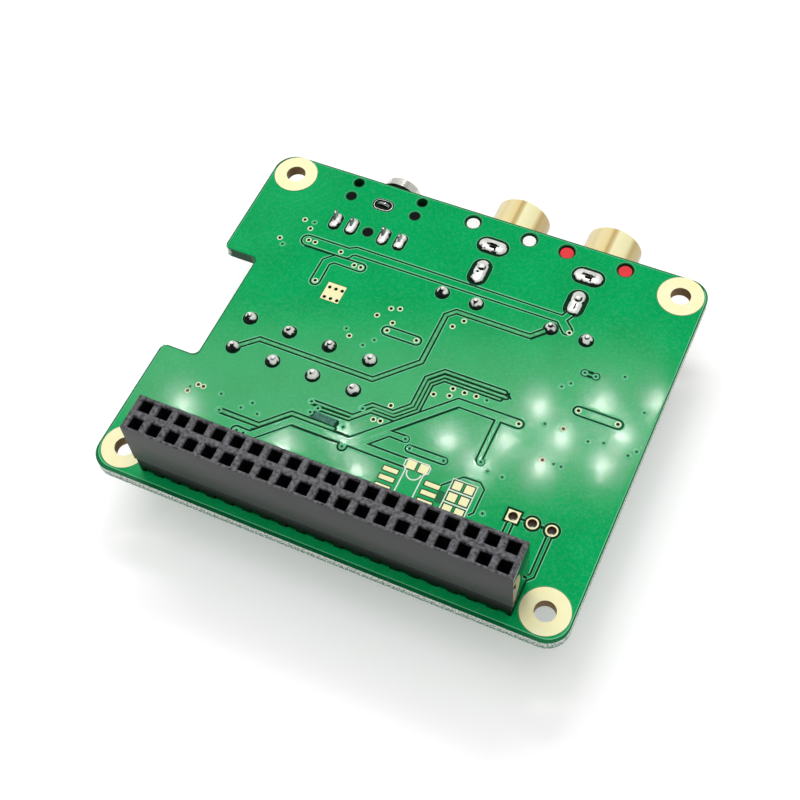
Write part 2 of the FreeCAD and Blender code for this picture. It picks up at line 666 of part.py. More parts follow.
contacts = node(new_body("socket_contacts", "socket_x", f"{SOCKET_Y} {FIRST_Y}"))
fork_plan = new_sketch(contacts, "ForkPlan", "XZ_Plane")
FORK_FLOOR = "spacer_height + housing_height - cell_depth"
FORK_TOP = "spacer_height + housing_height - fork_sink"
TAIL_END = "-board_thick - pin_tail"
draw_outline(fork_plan, [
    (f"{FIRST_X} - pin_side / 2", TAIL_END),
    (f"{FIRST_X} + pin_side / 2", TAIL_END),
    (f"{FIRST_X} + pin_side / 2", FORK_FLOOR),
    (f"{FIRST_X} + fork_half", FORK_FLOOR),
    (f"{FIRST_X} + fork_half", FORK_TOP),
    (f"{FIRST_X} + fork_half - fork_leaf", FORK_TOP),
    (f"{FIRST_X} + fork_half - fork_leaf", f"{FORK_FLOOR} + fork_root"),
    (f"{FIRST_X} - fork_half + fork_leaf", f"{FORK_FLOOR} + fork_root"),
    (f"{FIRST_X} - fork_half + fork_leaf", FORK_TOP),
    (f"{FIRST_X} - fork_half", FORK_TOP),
    (f"{FIRST_X} - fork_half", FORK_FLOOR),
    (f"{FIRST_X} - pin_side / 2", FORK_FLOOR),
])
fork = pad(contacts, "Fork", fork_plan, "pin_side", both_ways=True)
repeat(contacts, "ForkGrid", [fork], GRID)

# Phono jacks: a moulded body pegged under the board edge, a turned gold shell, an insulator in
# the shell and a sprung tube for the plug pin. A tab from the shell and a tail from the tube
# come up through the board.
for side, x in PHONO_X.items():
    shell_back, shell_front = behind("shell_back_in"), past("shell_out")
    face_y = f"{shell_front} - insulator_sink"
    tube_back = f"{SIGNAL_Y} + signal_width / 2"
    case = new_body(f"phono_case_{side}", "0", "0", UNDER)
    case_plan = new_sketch(case, f"PhonoPlan_{side}")
    draw_rectangle(case_plan, x, f"({PHONO_BACK} + {PHONO_FRONT}) / 2", "phono_width",
                   f"{PHONO_FRONT} - {PHONO_BACK}")
    case_block = pad(case, f"PhonoBlock_{side}", case_plan, "phono_depth", reverse=True)
    doc.recompute()
    far_spots = [FreeCAD.Vector(at(x) + step * at("phono_width") / 2, 0, -at("phono_depth"))
                 for step in (-1, 1)]
    far_edges = edges_near(case_block, BACK, far_spots)
    round_edges(case, f"PhonoRound_{side}", case_block, far_edges, "phono_corner")
    pegs = [post(f"phono_peg_{side}_{number}", f"{x} {sign} phono_peg_pitch / 2", PHONO_PEG_Y,
                 UNDER, "phono_peg_dia", "board_thick - phono_peg_sink")
            for number, sign in enumerate("-+")]
    pegged = fused(f"phono_pegged_{side}", [case] + pegs)
    seat = barrel(f"phono_seat_{side}", x, PHONO_Z, f"{SHELL_SEAT} + 2 * fit_clear", shell_back,
                  f"{PHONO_FRONT} + fit_clear")
    stem_hole = barrel(f"phono_stem_hole_{side}", x, PHONO_Z, f"{CENTRE_DIA} + 2 * fit_clear", tube_back,
                       shell_back)
    tail_slot = block(f"phono_tail_slot_{side}", x, SIGNAL_Y, f"{PHONO_Z} - {CENTRE_DIA} / 2 - fit_clear",
                      "tab_thick + 2 * fit_clear", "signal_width + 2 * fit_clear",
                      f"phono_axis + {CENTRE_DIA} / 2 + 2 * fit_clear")
    tab_slot = block(f"phono_tab_slot_{side}", x, GROUND_Y, PHONO_Z, "ground_width + 2 * fit_clear",
                     "tab_thick + 2 * fit_clear", "phono_axis + fit_clear")
    node(cut(f"phono_body_{side}", pegged, [seat, stem_hole, tail_slot, tab_slot]))

    node(turned(f"phono_shell_{side}", x, PHONO_Z, [
        (f"{SHELL_BORE} / 2", shell_back),
        (f"{SHELL_SEAT} / 2", shell_back),
        (f"{SHELL_SEAT} / 2", PHONO_FRONT),
        ("shell_dia / 2", PHONO_FRONT),
        ("shell_dia / 2", f"{shell_front} - rim_bevel"),
        ("shell_dia / 2 - rim_bevel", shell_front),
        (f"{SHELL_BORE} / 2", shell_front),
    ]))

    plug = barrel(f"phono_plug_{side}", x, PHONO_Z, SHELL_BORE, shell_back, face_y)
    plug_hole = barrel(f"phono_plug_hole_{side}", x, PHONO_Z, CENTRE_DIA, f"{shell_back} - 1",
                       f"{face_y} + 1")
    node(cut(f"phono_insulator_{side}", plug, [plug_hole]))

    stem = barrel(f"phono_stem_{side}", x, PHONO_Z, CENTRE_DIA, tube_back, f"{face_y} - centre_sink")
    tail = block(f"phono_tail_{side}", x, SIGNAL_Y, f"{PHONO_Z} - {CENTRE_DIA} / 2", "tab_thick",
                 "signal_width", f"phono_axis + {CENTRE_DIA} / 2 + board_thick + tail_rise")
    pin_hole = barrel(f"phono_pin_hole_{side}", x, PHONO_Z, CENTRE_BORE, behind("centre_floor_in"),
                      f"{face_y} + 1")
    node(cut(f"phono_contact_{side}", fused(f"phono_sprung_{side}", [stem, tail]), [pin_hole]))

    tab = block(f"phono_tab_{side}", x, GROUND_Y, PHONO_Z, "ground_width", "tab_thick",
                "phono_axis + board_thick + tail_rise")
    shell_form = barrel(f"phono_tab_form_{side}", x, PHONO_Z, SHELL_SEAT, shell_back, shell_front)
    node(cut(f"phono_ground_{side}", tab, [shell_form]))

# Headphone jack: a low moulded body with a collar past the board edge, a metal ferrule pressed
# into the collar, and five blades that come up through the board.
jack_block = block("jack_block", JACK_X, f"({JACK_BACK} + {JACK_FRONT}) / 2", "-board_thick - jack_depth",
                   "jack_width", f"{JACK_FRONT} - {JACK_BACK}", "jack_depth")
collar_start = f"{JACK_EDGE} + collar_gap"
jack_neck = barrel("jack_neck", JACK_X, JACK_Z, "jack_neck_dia", f"{JACK_FRONT} - 1", COLLAR_END)
jack_collar = barrel("jack_collar", JACK_X, JACK_Z, "collar_dia", collar_start, COLLAR_END)
jack_pegs = [post(f"jack_peg_{number}", f"{JACK_X} {sign} jack_peg_span / 2", JACK_PEG_Y, UNDER,
                  "jack_peg_dia", "board_thick") for number, sign in enumerate("-+")]
jack_pegs.append(post("jack_peg_rear", JACK_X, JACK_PIN_Y, UNDER, "jack_peg_dia", "board_thick"))
jack_solid = fused("jack_solid", [jack_block, jack_neck, jack_collar] + jack_pegs)
jack_tools = [
    barrel("jack_ferrule_seat", JACK_X, JACK_Z, "ferrule_stem + 2 * fit_clear", FERRULE_ROOT,
           f"{COLLAR_END} + 1"),
    barrel("jack_plug_bore", JACK_X, JACK_Z, "plug_dia", PLUG_END, f"{COLLAR_END} + 1"),
    block("jack_sleeve_slot", JACK_X, SLEEVE_Y, JACK_Z, "sleeve_width + 2 * fit_clear",
          "sleeve_thick + 2 * fit_clear", "jack_axis + fit_clear"),
]
for number, x in enumerate(JACK_PINS):
    jack_tools.append(block(f"jack_pin_slot_{number}", x, JACK_PIN_Y, "-board_thick - jack_pin_root",
                            "jack_pin_thick + 2 * fit_clear", "jack_pin_width + 2 * fit_clear",
                            "jack_pin_root + fit_clear"))
node(cut("jack_body", jack_solid, jack_tools))

node(turned("jack_ferrule", JACK_X, JACK_Z, [
    ("plug_dia / 2", FERRULE_ROOT),
    ("ferrule_stem / 2", FERRULE_ROOT),
    ("ferrule_stem / 2", COLLAR_END),
    ("ferrule_dia / 2", COLLAR_END),
    ("ferrule_dia / 2", f"{FERRULE_END} - rim_bevel"),
    ("ferrule_dia / 2 - rim_bevel", FERRULE_END),
    ("plug_dia / 2", FERRULE_END),
]))

blades = [block("jack_sleeve_blade", JACK_X, SLEEVE_Y, f"{JACK_Z} + plug_dia / 2 + fit_clear",
                "sleeve_width", "sleeve_thick",
                "jack_axis - plug_dia / 2 - fit_clear + board_thick + tail_rise")]
for number, x in enumerate(JACK_PINS):
    blades.append(block(f"jack_blade_{number}", x, JACK_PIN_Y, "-board_thick - jack_pin_root",
                        "jack_pin_thick", "jack_pin_width", "jack_pin_root + board_thick + tail_rise"))
node(group("jack_contacts", blades))

# Film capacitors: moulded boxes that stand under the board on two wire leads each, four in a
# row and one behind each phono jack.


def film_case(name, x, y, across, along, tall):
    """A case under the board, bevelled on every edge but those against the board."""
    body = new_body(name, x, y, UNDER)
    sketch = new_sketch(body, f"{name}_plan")
    draw_rectangle(sketch, "0", "0", across, along)
    box = pad(body, f"{name}_box", sketch, tall, reverse=True)
    doc.recompute()
    edges = [f"Edge{number}" for number, edge in enumerate(box.Shape.Edges, start=1)
             if edge.BoundBox.ZMin < -1e-6]
    bevel = body.newObject("PartDesign::Chamfer", f"{name}_bevel")
    bevel.Base = (box, edges)
    bind(bevel, "Size", "film_bevel")
    body.Tip = bevel
    return body


for number, x in enumerate(FILM_ROW, start=1):
    node(film_case(f"film_capacitor_{number}", x, "film_row_y", "film_width", "film_length", "film_height"))
for side, x in zip(("left", "right"), FILM_OUT):
    node(film_case(f"output_capacitor_{side}", x, FILM_OUT_Y, "film_length", "film_out_width",
                   "film_out_height"))
node(group("capacitor_leads", [
    post(f"lead_{number}", x, y, UNDER, "lead_dia", "board_thick + lead_rise")
    for number, (x, y) in enumerate(LEADS)]))

# Solder: a cone round each clipped lead, and a low oval round each tail of the jacks.
joints = []
for number, (x, y) in enumerate(LEADS):
    cone = doc.addObject("Part::Cone", f"joint_cone_{number}")
    bind(cone, "Radius1", "joint_dia / 2")
    bind(cone, "Radius2", "joint_top / 2")
    bind(cone, "Height", "joint_height")
    place(cone, x, y, "0")
    wire = post(f"joint_wire_{number}", x, y, "-1", "lead_dia", "joint_height + 2")
    joints.append(cut(f"joint_{number}", cone, [wire]))
node(group("capacitor_solder", joints))

phono_joints = []
for side, x in PHONO_X.items():
    ground = oval(f"ground_oval_{side}", x, GROUND_Y, "0", "ground_oval_length", "phono_oval_width",
                  "oval_height", "x")
    ground_tab = block(f"ground_oval_slot_{side}", x, GROUND_Y, "-1", "ground_width", "tab_thick",
                       "oval_height + 2")
    phono_joints.append(cut(f"ground_joint_{side}", ground, [ground_tab]))
    signal = oval(f"signal_oval_{side}", x, SIGNAL_Y, "0", "signal_oval_length", "phono_oval_width",
                  "oval_height", "y")
    signal_tail = block(f"signal_oval_slot_{side}", x, SIGNAL_Y, "-1", "tab_thick", "signal_width",
                        "oval_height + 2")
    phono_joints.append(cut(f"signal_joint_{side}", signal, [signal_tail]))
node(group("phono_solder", phono_joints))

sleeve = oval("sleeve_oval", JACK_X, SLEEVE_Y, "0", "jack_oval_length", "jack_oval_width", "oval_height", "x")
sleeve_slot = block("sleeve_oval_slot", JACK_X, SLEEVE_Y, "-1", "sleeve_width", "sleeve_thick",
                    "oval_height + 2")
jack_joints = [cut("sleeve_joint", sleeve, [sleeve_slot])]
for number, x in enumerate(JACK_PINS):
    drop = oval(f"pin_oval_{number}", x, JACK_PIN_Y, "0", "jack_oval_length", "jack_oval_width",
                "oval_height", "y")
    drop_slot = block(f"pin_oval_slot_{number}", x, JACK_PIN_Y, "-1", "jack_pin_thick", "jack_pin_width",
                      "oval_height + 2")
    jack_joints.append(cut(f"pin_joint_{number}", drop, [drop_slot]))
node(group("jack_solder", jack_joints))

# Converter chip: a moulded body between two rows of gull-wing leads.
CHIP_TOP = "-board_thick - chip_standoff"
node(block("converter_chip", "chip_x", behind("chip_in"), f"{CHIP_TOP} - chip_height", "chip_length",
           "chip_width", "chip_height"))
chip_leads = node(new_body("converter_leads", "chip_x", behind("chip_in"), UNDER))
wing_plan = new_sketch(chip_leads, "WingPlan", "YZ_Plane",
                       "-(chip_lead_count - 1) / 2 * chip_pitch")
SIDE = "chip_width / 2"
FOOT_END = f"{SIDE} + chip_lead_reach"
KNEE = f"{SIDE} + chip_lead_reach - chip_lead_foot"
SHOULDER = "-chip_standoff - chip_height / 2"
draw_outline(wing_plan, [
    (SIDE, f"{SHOULDER} - chip_lead_thick / 2"),
    (f"{KNEE} + chip_lead_thick", f"{SHOULDER} - chip_lead_thick / 2"),
    (f"{KNEE} + chip_lead_thick", "-chip_lead_thick"),
    (FOOT_END, "-chip_lead_thick"),
    (FOOT_END, "0"),
    (KNEE, "0"),
    (KNEE, f"{SHOULDER} + chip_lead_thick / 2"),
    (SIDE, f"{SHOULDER} + chip_lead_thick / 2"),
])
wing = pad(chip_leads, "Wing", wing_plan, "chip_lead_width", both_ways=True)
wing_run = chip_leads.newObject("PartDesign::LinearPattern", "WingRun")
wing_run.Direction = (axis_of(chip_leads, "X_Axis"), [""])
bind(wing_run, "Length", "(chip_lead_count - 1) * chip_pitch")
bind(wing_run, "Occurrences", "chip_lead_count")
wing_pair = chip_leads.newObject("PartDesign::Mirrored", "WingPair")
wing_pair.MirrorPlane = (axis_of(chip_leads, "XZ_Plane"), [""])
wing_rows = chip_leads.newObject("PartDesign::MultiTransform", "WingRows")
wing_rows.Originals = [wing]
wing_rows.Transformations = [wing_run, wing_pair]
chip_leads.Tip = wing_rows

# Headphone amplifier: a flat leadless chip over the heat pad, soldered by pads at its rim and
# one large pad in its middle.
node(block("amplifier_chip", HEAT_X, "heat_y", "-board_thick - plating - amp_height", "amp_side",
           "amp_side", "amp_height"))
amp_pads = [block("amp_pad_middle", HEAT_X, "heat_y", "-board_thick - plating", "heat_length - amp_land_gap",
                  "heat_length - amp_land_gap", "plating")]
for number in range(5):
    along = f"({number} - 2) * amp_pitch"
    for sign in "-+":
        rim = "(amp_side - amp_pad_length) / 2"
        amp_pads.append(block(f"amp_pad_x_{number}_{'ab'['-+'.index(sign)]}", f"{HEAT_X} {sign} {rim}",
                              f"heat_y + {along}", "-board_thick - plating", "amp_pad_length",
                              "amp_pad_width", "plating"))
        amp_pads.append(block(f"amp_pad_y_{number}_{'ab'['-+'.index(sign)]}", f"{HEAT_X} + {along}",
                              f"heat_y {sign} {rim}", "-board_thick - plating", "amp_pad_width",
                              "amp_pad_length", "plating"))
node(group("amplifier_pads", amp_pads))

# Two regulators with flat leads: three on one side, two on the other.
regulator_leads = []
for number in range(2):
    x = f"{RIGHT_EDGE} - regulator_in + {number} * regulator_pitch"
    node(block(f"regulator_{number + 1}", x, "regulator_y", f"{CHIP_TOP} - regulator_height",
               "regulator_length", "regulator_width", "regulator_height"))
    middle = "(regulator_lead_span + regulator_lead_gap) / 4"
    for step, sign in ((-1, "-"), (0, "-"), (1, "-"), (-1, "+"), (1, "+")):
        name = f"regulator_lead_{number}_{step + 1}_{'ab'['-+'.index(sign)]}"
        regulator_leads.append(block(name, f"{x} + ({step}) * regulator_lead_pitch",
                                     f"regulator_y {sign} {middle}", CHIP_TOP,
                                     "regulator_lead_width", "(regulator_lead_span - regulator_lead_gap) / 2",
                                     "chip_standoff"))
node(group("regulator_leads", regulator_leads))

# Chip capacitors and chip resistors, in short rows beside the parts they serve.


def passives(name, x, y, across, count, height):
    row = []
    for number in range(count):
        step = f"{number} * passive_pitch"
        if across:
            row.append(block(f"{name}_{number}", f"{x} + {step}", y, f"-board_thick - {height}",
                             "passive_width", "passive_length", height))
        else:
            row.append(block(f"{name}_{number}", x, f"{y} + {step}", f"-board_thick - {height}",
                             "passive_length", "passive_width", height))
    return row


AMP_CAPACITORS, AMP_RESISTORS = from_left("ceramic_amp_in"), from_left("resistor_amp_in")
POWER_CAPACITORS, BUS_RESISTORS = from_right("ceramic_power_in"), from_left("resistor_bus_in")
node(group("chip_capacitors",
           passives("ceramic_chip", "ceramic_chip_x", behind("ceramic_chip_in"), True, 4, "ceramic_height")
           + passives("ceramic_amp", AMP_CAPACITORS, "ceramic_amp_y", False, 3, "ceramic_height")
           + passives("ceramic_power", POWER_CAPACITORS, "ceramic_power_y", True, 4, "ceramic_height")))
node(group("chip_resistors",
           passives("resistor_chip", "resistor_chip_x", behind("resistor_chip_in"), True, 4, "resistor_height")
           + passives("resistor_amp", AMP_RESISTORS, "resistor_amp_y", False, 3, "resistor_height")
           + passives("resistor_bus", BUS_RESISTORS, "resistor_bus_y", True, 4, "resistor_height")))

doc.recompute()
for item in doc.Objects:
    if "Invalid" in item.State or "Error" in item.State:
        raise RuntimeError(f"{item.Label} did not build: {item.State}")
for item in NODES:
    if item.Shape.isNull() or not item.Shape.isValid() or not item.Shape.Solids:
        raise RuntimeError(f"{item.Label} has no sound solid")

os.makedirs("parts", exist_ok=True)
for item in NODES:
    item.Shape.exportStep(f"parts/{item.Label}.step")
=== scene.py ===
import math

import bpy
from mathutils import Matrix, Vector


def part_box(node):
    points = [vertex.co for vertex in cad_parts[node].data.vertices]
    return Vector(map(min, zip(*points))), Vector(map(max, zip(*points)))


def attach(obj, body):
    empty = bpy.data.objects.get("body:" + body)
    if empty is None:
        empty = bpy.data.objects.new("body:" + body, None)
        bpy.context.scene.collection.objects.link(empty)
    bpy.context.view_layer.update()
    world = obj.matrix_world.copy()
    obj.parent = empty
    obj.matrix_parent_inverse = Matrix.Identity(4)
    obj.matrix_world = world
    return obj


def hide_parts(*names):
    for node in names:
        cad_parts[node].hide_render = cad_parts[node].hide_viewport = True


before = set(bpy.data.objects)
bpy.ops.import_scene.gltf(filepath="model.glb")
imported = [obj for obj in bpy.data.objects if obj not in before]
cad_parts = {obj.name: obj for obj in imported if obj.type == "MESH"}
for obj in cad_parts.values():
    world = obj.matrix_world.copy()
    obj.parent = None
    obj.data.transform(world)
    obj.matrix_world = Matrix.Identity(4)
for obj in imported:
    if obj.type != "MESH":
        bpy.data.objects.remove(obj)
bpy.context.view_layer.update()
bpy.ops.object.select_all(action="DESELECT")

# Laminate: one routed sheet of glass fibre and resin with green lacquer on both faces. The saw leaves
# pale fibre on the outline, painted darker towards its bottom as shade; hole and notch walls get painted
# shade.
MM = 0.001


def reach(node):
    """The low and the high corner of a CAD node, in millimetres."""
    return [Vector(corner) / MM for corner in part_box(node)]


BOARD_LOW, BOARD_HIGH = reach("circuit_board")


def srgb(red, green, blue):
    """The linear colour of a screen colour given from 0 to 255."""
    steps = (value / 255 for value in (red, green, blue))
    linear = (step / 12.92 if step <= 0.04045 else ((step + 0.055) / 1.055) ** 2.4 for step in steps)
    return (*linear, 1.0)


def add(tree, kind, outlet, sockets=None, operation=None, data_type=None):
    """Adds a shader node, gives its sockets their values or links, and hands back one outlet."""
    node = tree.nodes.new("ShaderNode" + kind)
    if operation:
        node.operation = operation
    if data_type:
        node.data_type = data_type
    for socket, value in (sockets or {}).items():
        if isinstance(value, bpy.types.NodeSocket):
            tree.links.new(value, node.inputs[socket])
        else:
            node.inputs[socket].default_value = value
    return node.outputs[outlet]


def maths(tree, operation, first, second=0.0):
    """One step of arithmetic on one value or two."""
    return add(tree, "Math", "Value", {0: first, 1: second}, operation=operation)


def blend(tree, share, first, second):
    """Goes from the first colour to the second as the share grows from 0 to 1."""
    return add(tree, "Mix", "Result", {"Factor": share, "A": first, "B": second}, data_type="RGBA")


def ramp(tree, value, shades):
    """A colour that follows a value through (position, colour) pairs."""
    outlet = add(tree, "ValToRGB", "Color", {"Fac": value})
    steps = outlet.node.color_ramp.elements
    for step, (position, shade) in zip(steps, (shades[0], shades[-1])):
        step.position, step.color = position, shade
    for position, shade in shades[1:-1]:
        steps.new(position).color = shade
    return outlet


def axis(tree, source, letter):
    """One axis of the surface's Normal, or of its place on the Object."""
    return add(tree, "SeparateXYZ", letter, {"Vector": add(tree, "TexCoord", source)})


def levelness(tree):
    """1 on a level face and 0 on an upright one."""
    return maths(tree, "ABSOLUTE", axis(tree, "Normal", "Z"))


def make_mottle():
    """Uneven colour and gloss with a fine relief, for anything that is not perfectly even."""
    group = bpy.data.node_groups.new("Mottle", "ShaderNodeTree")
    for way, kind, names in (
            ("INPUT", "NodeSocketColor", ("Dark", "Light")),
            ("INPUT", "NodeSocketFloat", ("Scale", "Smooth", "Rough", "Grain Scale", "Relief")),
            ("OUTPUT", "NodeSocketColor", ("Color",)),
            ("OUTPUT", "NodeSocketFloat", ("Roughness",)),
            ("OUTPUT", "NodeSocketVector", ("Normal",))):
        for name in names:
            group.interface.new_socket(name, in_out=way, socket_type=kind)
    given = group.nodes.new("NodeGroupInput").outputs
    place = add(group, "TexCoord", "Object")
    cloud = add(group, "TexNoise", "Fac", {"Vector": place, "Scale": given["Scale"], "Detail": 4})
    spread = add(group, "MapRange", "Result", {"Value": cloud, "From Min": 0.3, "From Max": 0.7})
    tint = blend(group, spread, given["Dark"], given["Light"])
    gloss = add(group, "MapRange", "Result",
                {"Value": spread, "To Min": given["Smooth"], "To Max": given["Rough"]})
    grain = add(group, "TexNoise", "Fac", {"Vector": place, "Scale": given["Grain Scale"], "Detail": 3})
    relief = add(group, "Bump", "Normal",
                 {"Height": grain, "Strength": given["Relief"], "Distance": 0.05 * MM})
    result = group.nodes.new("NodeGroupOutput").inputs
    for outlet, socket in ((tint, "Color"), (gloss, "Roughness"), (relief, "Normal")):
        group.links.new(outlet, result[socket])
    return group


mottle = make_mottle()


def mottled(name, dark, light, scale, smooth, rough, grain_scale=3000, relief=0.2, **sockets):
    """A material on the mottle group; other values go straight on the shader's own sockets."""
    material = bpy.data.materials.new(name)
    material.use_nodes = True
    tree = material.node_tree
    shader = tree.nodes["Principled BSDF"]
    for socket, value in sockets.items():
        shader.inputs[socket.replace("_", " ")].default_value = value
    surface = tree.nodes.new("ShaderNodeGroup")
    surface.node_tree = mottle
    values = (srgb(*dark), srgb(*light), scale, smooth, rough, grain_scale, relief)
    for socket, value in zip(surface.inputs, values):
        socket.default_value = value
    for outlet, socket in (("Color", "Base Color"), ("Roughness", "Roughness"), ("Normal", "Normal")):
        tree.links.new(surface.outputs[outlet], shader.inputs[socket])
    return material


def lay_over(material, share, shade):
    """Lays a second colour over a material's own, by a share from 0 to 1."""
    tree = material.node_tree
    colour = tree.nodes["Principled BSDF"].inputs["Base Color"]
    tree.links.new(blend(tree, share, colour.links[0].from_socket, shade), colour)


def dress(material, *names):
    """Puts a material on CAD nodes."""
    for name in names:
        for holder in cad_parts[name].material_slots:
            holder.material = material


lacquer_on_fibre = mottled("lacquer_on_fibre", (0, 100, 54), (0, 116, 64), 900, 0.3, 0.42,
                           Specular_IOR_Level=0.12)


def add_cut_edges(material):
    """Pale speckled fibre on the sawn outline, darker towards its bottom as painted shade, and dark walls of
    painted shade in the holes and the notch.
    """
    tree = material.node_tree
    middle, half = (BOARD_LOW + BOARD_HIGH) / 2 * MM, (BOARD_HIGH - BOARD_LOW) / 2 * MM
    off_x, off_y = (maths(tree, "ABSOLUTE", maths(tree, "SUBTRACT", axis(tree, "Object", letter), start))
                    for letter, start in (("X", middle.x), ("Y", middle.y)))

    def near_sides(operation, margin_x, margin_y):
        near_x = maths(tree, "GREATER_THAN", off_x, half.x - margin_x * MM)
        near_y = maths(tree, "GREATER_THAN", off_y, half.y - margin_y * MM)
        return maths(tree, operation, near_x, near_y)

    corners = near_sides("MULTIPLY", 3.2, 3.0)
    outline = maths(tree, "MAXIMUM", near_sides("MAXIMUM", 1.1, 0.5), corners)
    place = add(tree, "TexCoord", "Object")
    fibre = add(tree, "TexNoise", "Fac", {"Vector": place, "Scale": 3600, "Detail": 3})
    # Painted shade: this shifts the speckle so the edge is whiter at the top and darker at the bottom.
    upper = add(tree, "MapRange", "Result",
                {"Value": axis(tree, "Object", "Z"), "From Min": -1.3 * MM, "From Max": -0.3 * MM,
                 "To Min": -0.07, "To Max": 0.07})
    speckle = ramp(tree, maths(tree, "ADD", fibre, upper),
                   [(0.43, srgb(96, 150, 118)), (0.56, srgb(250, 252, 248))])
    upright = maths(tree, "LESS_THAN", levelness(tree), 0.5)
    # Painted shade: the walls of the holes and the notch get a plain dark green.
    lay_over(material, upright, blend(tree, outline, srgb(12, 84, 48), speckle))


add_cut_edges(lacquer_on_fibre)
dress(lacquer_on_fibre, "circuit_board")

# Solder side copper: a ground plane that is etched into tracks, all under the same green lacquer.
# The lacquer runs thin over the copper's shoulders, so each etched gap has two light lips: partly that thin
# lacquer, partly a painted highlight.
# COPPER is the thickness of the skin, SEAT its lower face and FLOOR the bottom of an etched gap.
COPPER, SEAT, FLOOR = 0.045, 0.002, 0.006
LIP, GAP = 0.15, 0.23
RIM, FRONT_RIM = 0.2, 0.5
HAIR = 1e-4
PITCH = 2.54

# A track or stroke is a width and a route, a box its four sides, a round x, y and radius, an oval
# x, y, length, width and the way it lies, and a land x, y and its two sizes, all in millimetres.
TRACKS = [
    (1.55, [(-22.0, 14.33), (-15.85, 14.33)]),
    (1.15, [(-16.0, 14.4), (-14.75, 15.11), (15.55, 15.11), (17.0, 13.66)]),
    (0.9, [(15.9, 15.3), (16.53, 16.6)]),
    (1.15, [(-17.9, 8.47), (-17.9, 11.9), (-17.03, 12.77), (-13.0, 12.77)]),
    (0.5, [(-23.2, -5.5), (-20.5, -3.05), (-3.7, -3.05), (1.13, 1.85), (1.13, 9.9), (2.2, 10.97),
           (12.8, 10.97), (14.87, 13.1)]),
    (1.15, [(-5.18, 4.64), (-0.87, 4.64)]),
    (1.1, [(22.8, 2.66), (28.1, 2.66)]),
    (0.28, [(21.53, 8.35), (23.03, 8.35)]),
    (0.8, [(5.1, -10.68), (9.8, -10.65)]),
    (0.4, [(13.1, 1.65), (4.62, 1.65), (2.8, -0.17), (2.8, -4.72), (0.9, -6.62), (-2.0, -6.62),
           (-2.97, -7.6)]),
    (0.36, [(13.55, 0.99), (4.9, 0.99), (3.32, -0.59), (3.32, -4.95), (1.23, -7.04), (-1.6, -7.04),
            (-3.7, -9.14), (-9.6, -9.14)]),
    (0.3, [(12.9, 0.44), (5.1, 0.44), (3.81, -0.86), (3.81, -5.15), (1.43, -7.53), (-1.8, -7.53),
           (-4.0, -9.71), (-8.37, -9.78)]),
    (1.1, [(16.5, -2.05), (8.15, -2.05), (-2.52, -12.72), (-10.7, -12.72), (-14.78, -16.8), (-16.8, -16.8)]),
    (1.05, [(-2.6, -12.72), (6.1, -12.72)]),
    (0.95, [(-3.0, -12.8), (-3.0, -13.7)]),
    (0.6, [(13.87, -2.1), (13.87, -8.7), (14.2, -9.0)]),
    (0.7, [(4.05, -9.6), (1.8, -9.6), (-0.9, -12.3)]),
    (0.48, [(-20.27, -14.96), (-14.4, -14.96), (-11.22, -11.78), (-5.2, -11.78)]),
    (0.55, [(20.8, -15.6), (20.8, -21.6)]),
    (0.38, [(25.88, -15.5), (25.88, -20.9), (25.2, -21.6)]),
]
BARE_STROKES = [
    (0.22, [(11.0, -13.84), (13.06, -11.77), (15.3, -11.66), (16.13, -12.4), (16.13, -15.9), (15.7, -16.4)]),
    (0.3, [(21.8, -14.4), (22.4, -14.4)]),
    (0.3, [(24.3, -14.4), (24.95, -14.4)]),
    (0.3, [(5.3, 1.32), (12.4, 1.32)]),
    (1.0, [(-8.5, -10.75), (-5.3, -10.9)]),
    (0.16, [(13.0, 1.95), (13.75, 1.5), (14.2, 1.0)]),
]
BARE_BOXES = [
    (10.95, -16.4, 12.0, -14.6),
    (-25.22, -26.54, 25.56, -21.86),
    (-16.1, 5.97, -13.16, 9.07),
]
RESIN_PATCH = (-9.1, -11.5, -4.7, -10.2)
SCREW_HOLES = [(x, y) for x in (-29.0, 29.0) for y in (-24.5, 24.5)]
SPARE_PINS = [(20.8 + PITCH * column, -14.44) for column in range(3)]
PHONO_X = (2.52, 16.52)
FILM_X = [-23.24 + 5.98 * column for column in range(4)]
FILM_LEADS = [(x, y) for x in FILM_X for y in (-5.55, -0.55)]
FILM_LEADS += [(x, 13.1) for x in (-0.8, 4.2, 14.9, 19.9)]
JACK_PINS = [(x, 18.76) for x in (-19.75, -17.23, -12.27, -9.75)]
JACK_SLEEVE = (-14.75, 23.95)
SUNK_ROUNDS = [(x, y, 1.06) for x, y in FILM_LEADS] + [(21.53, 8.35, 0.6), (23.03, 8.35, 0.6)]
SUNK_ROUNDS += [(x, y, 1.12) for x, y in SPARE_PINS[1:]]
BARE_ROUNDS = [(x, y, 3.2) for x, y in SCREW_HOLES]
BARE_ROUNDS += [(x, 25.87, 1.3) for x in (-1.705, 6.745, 12.295, 20.745)]
BARE_ROUNDS += [(x, y, 0.9) for x in (-19.73, -9.77) for y in (23.8, 26.4)]
BARE_ROUNDS += [(-14.75, 18.76, 0.9)]
BARE_ROUNDS += [(x, y, 0.85) for x, y in SPARE_PINS[1:]]
SUNK_OVALS = [(x, y, 4.7, 2.9, lies) for y, lies in ((22.9, "x"), (18.2, "y")) for x in PHONO_X]
SUNK_OVALS += [(*JACK_SLEEVE, 3.2, 2.1, "x")]
SUNK_OVALS += [(x, y, 3.0, 1.75, "y") for x, y in JACK_PINS]
LANDS = [(7.05 + 2.875 * side, -14.38 - 1.27 * row, 2.0, 0.6) for side in (-1, 1) for row in range(4)]
LANDS += [(7.15 + 0.85 * side, -12.7, 1.25, 1.25) for side in (-1, 1)]
LANDS += [(13.66 + 0.8 * side, -13.23 - 1.72 * row, 1.15, 1.15) for side in (-1, 1) for row in range(3)]
LANDS += [(*SPARE_PINS[0], 1.9, 1.9)]
LAND_MARGIN = 0.14


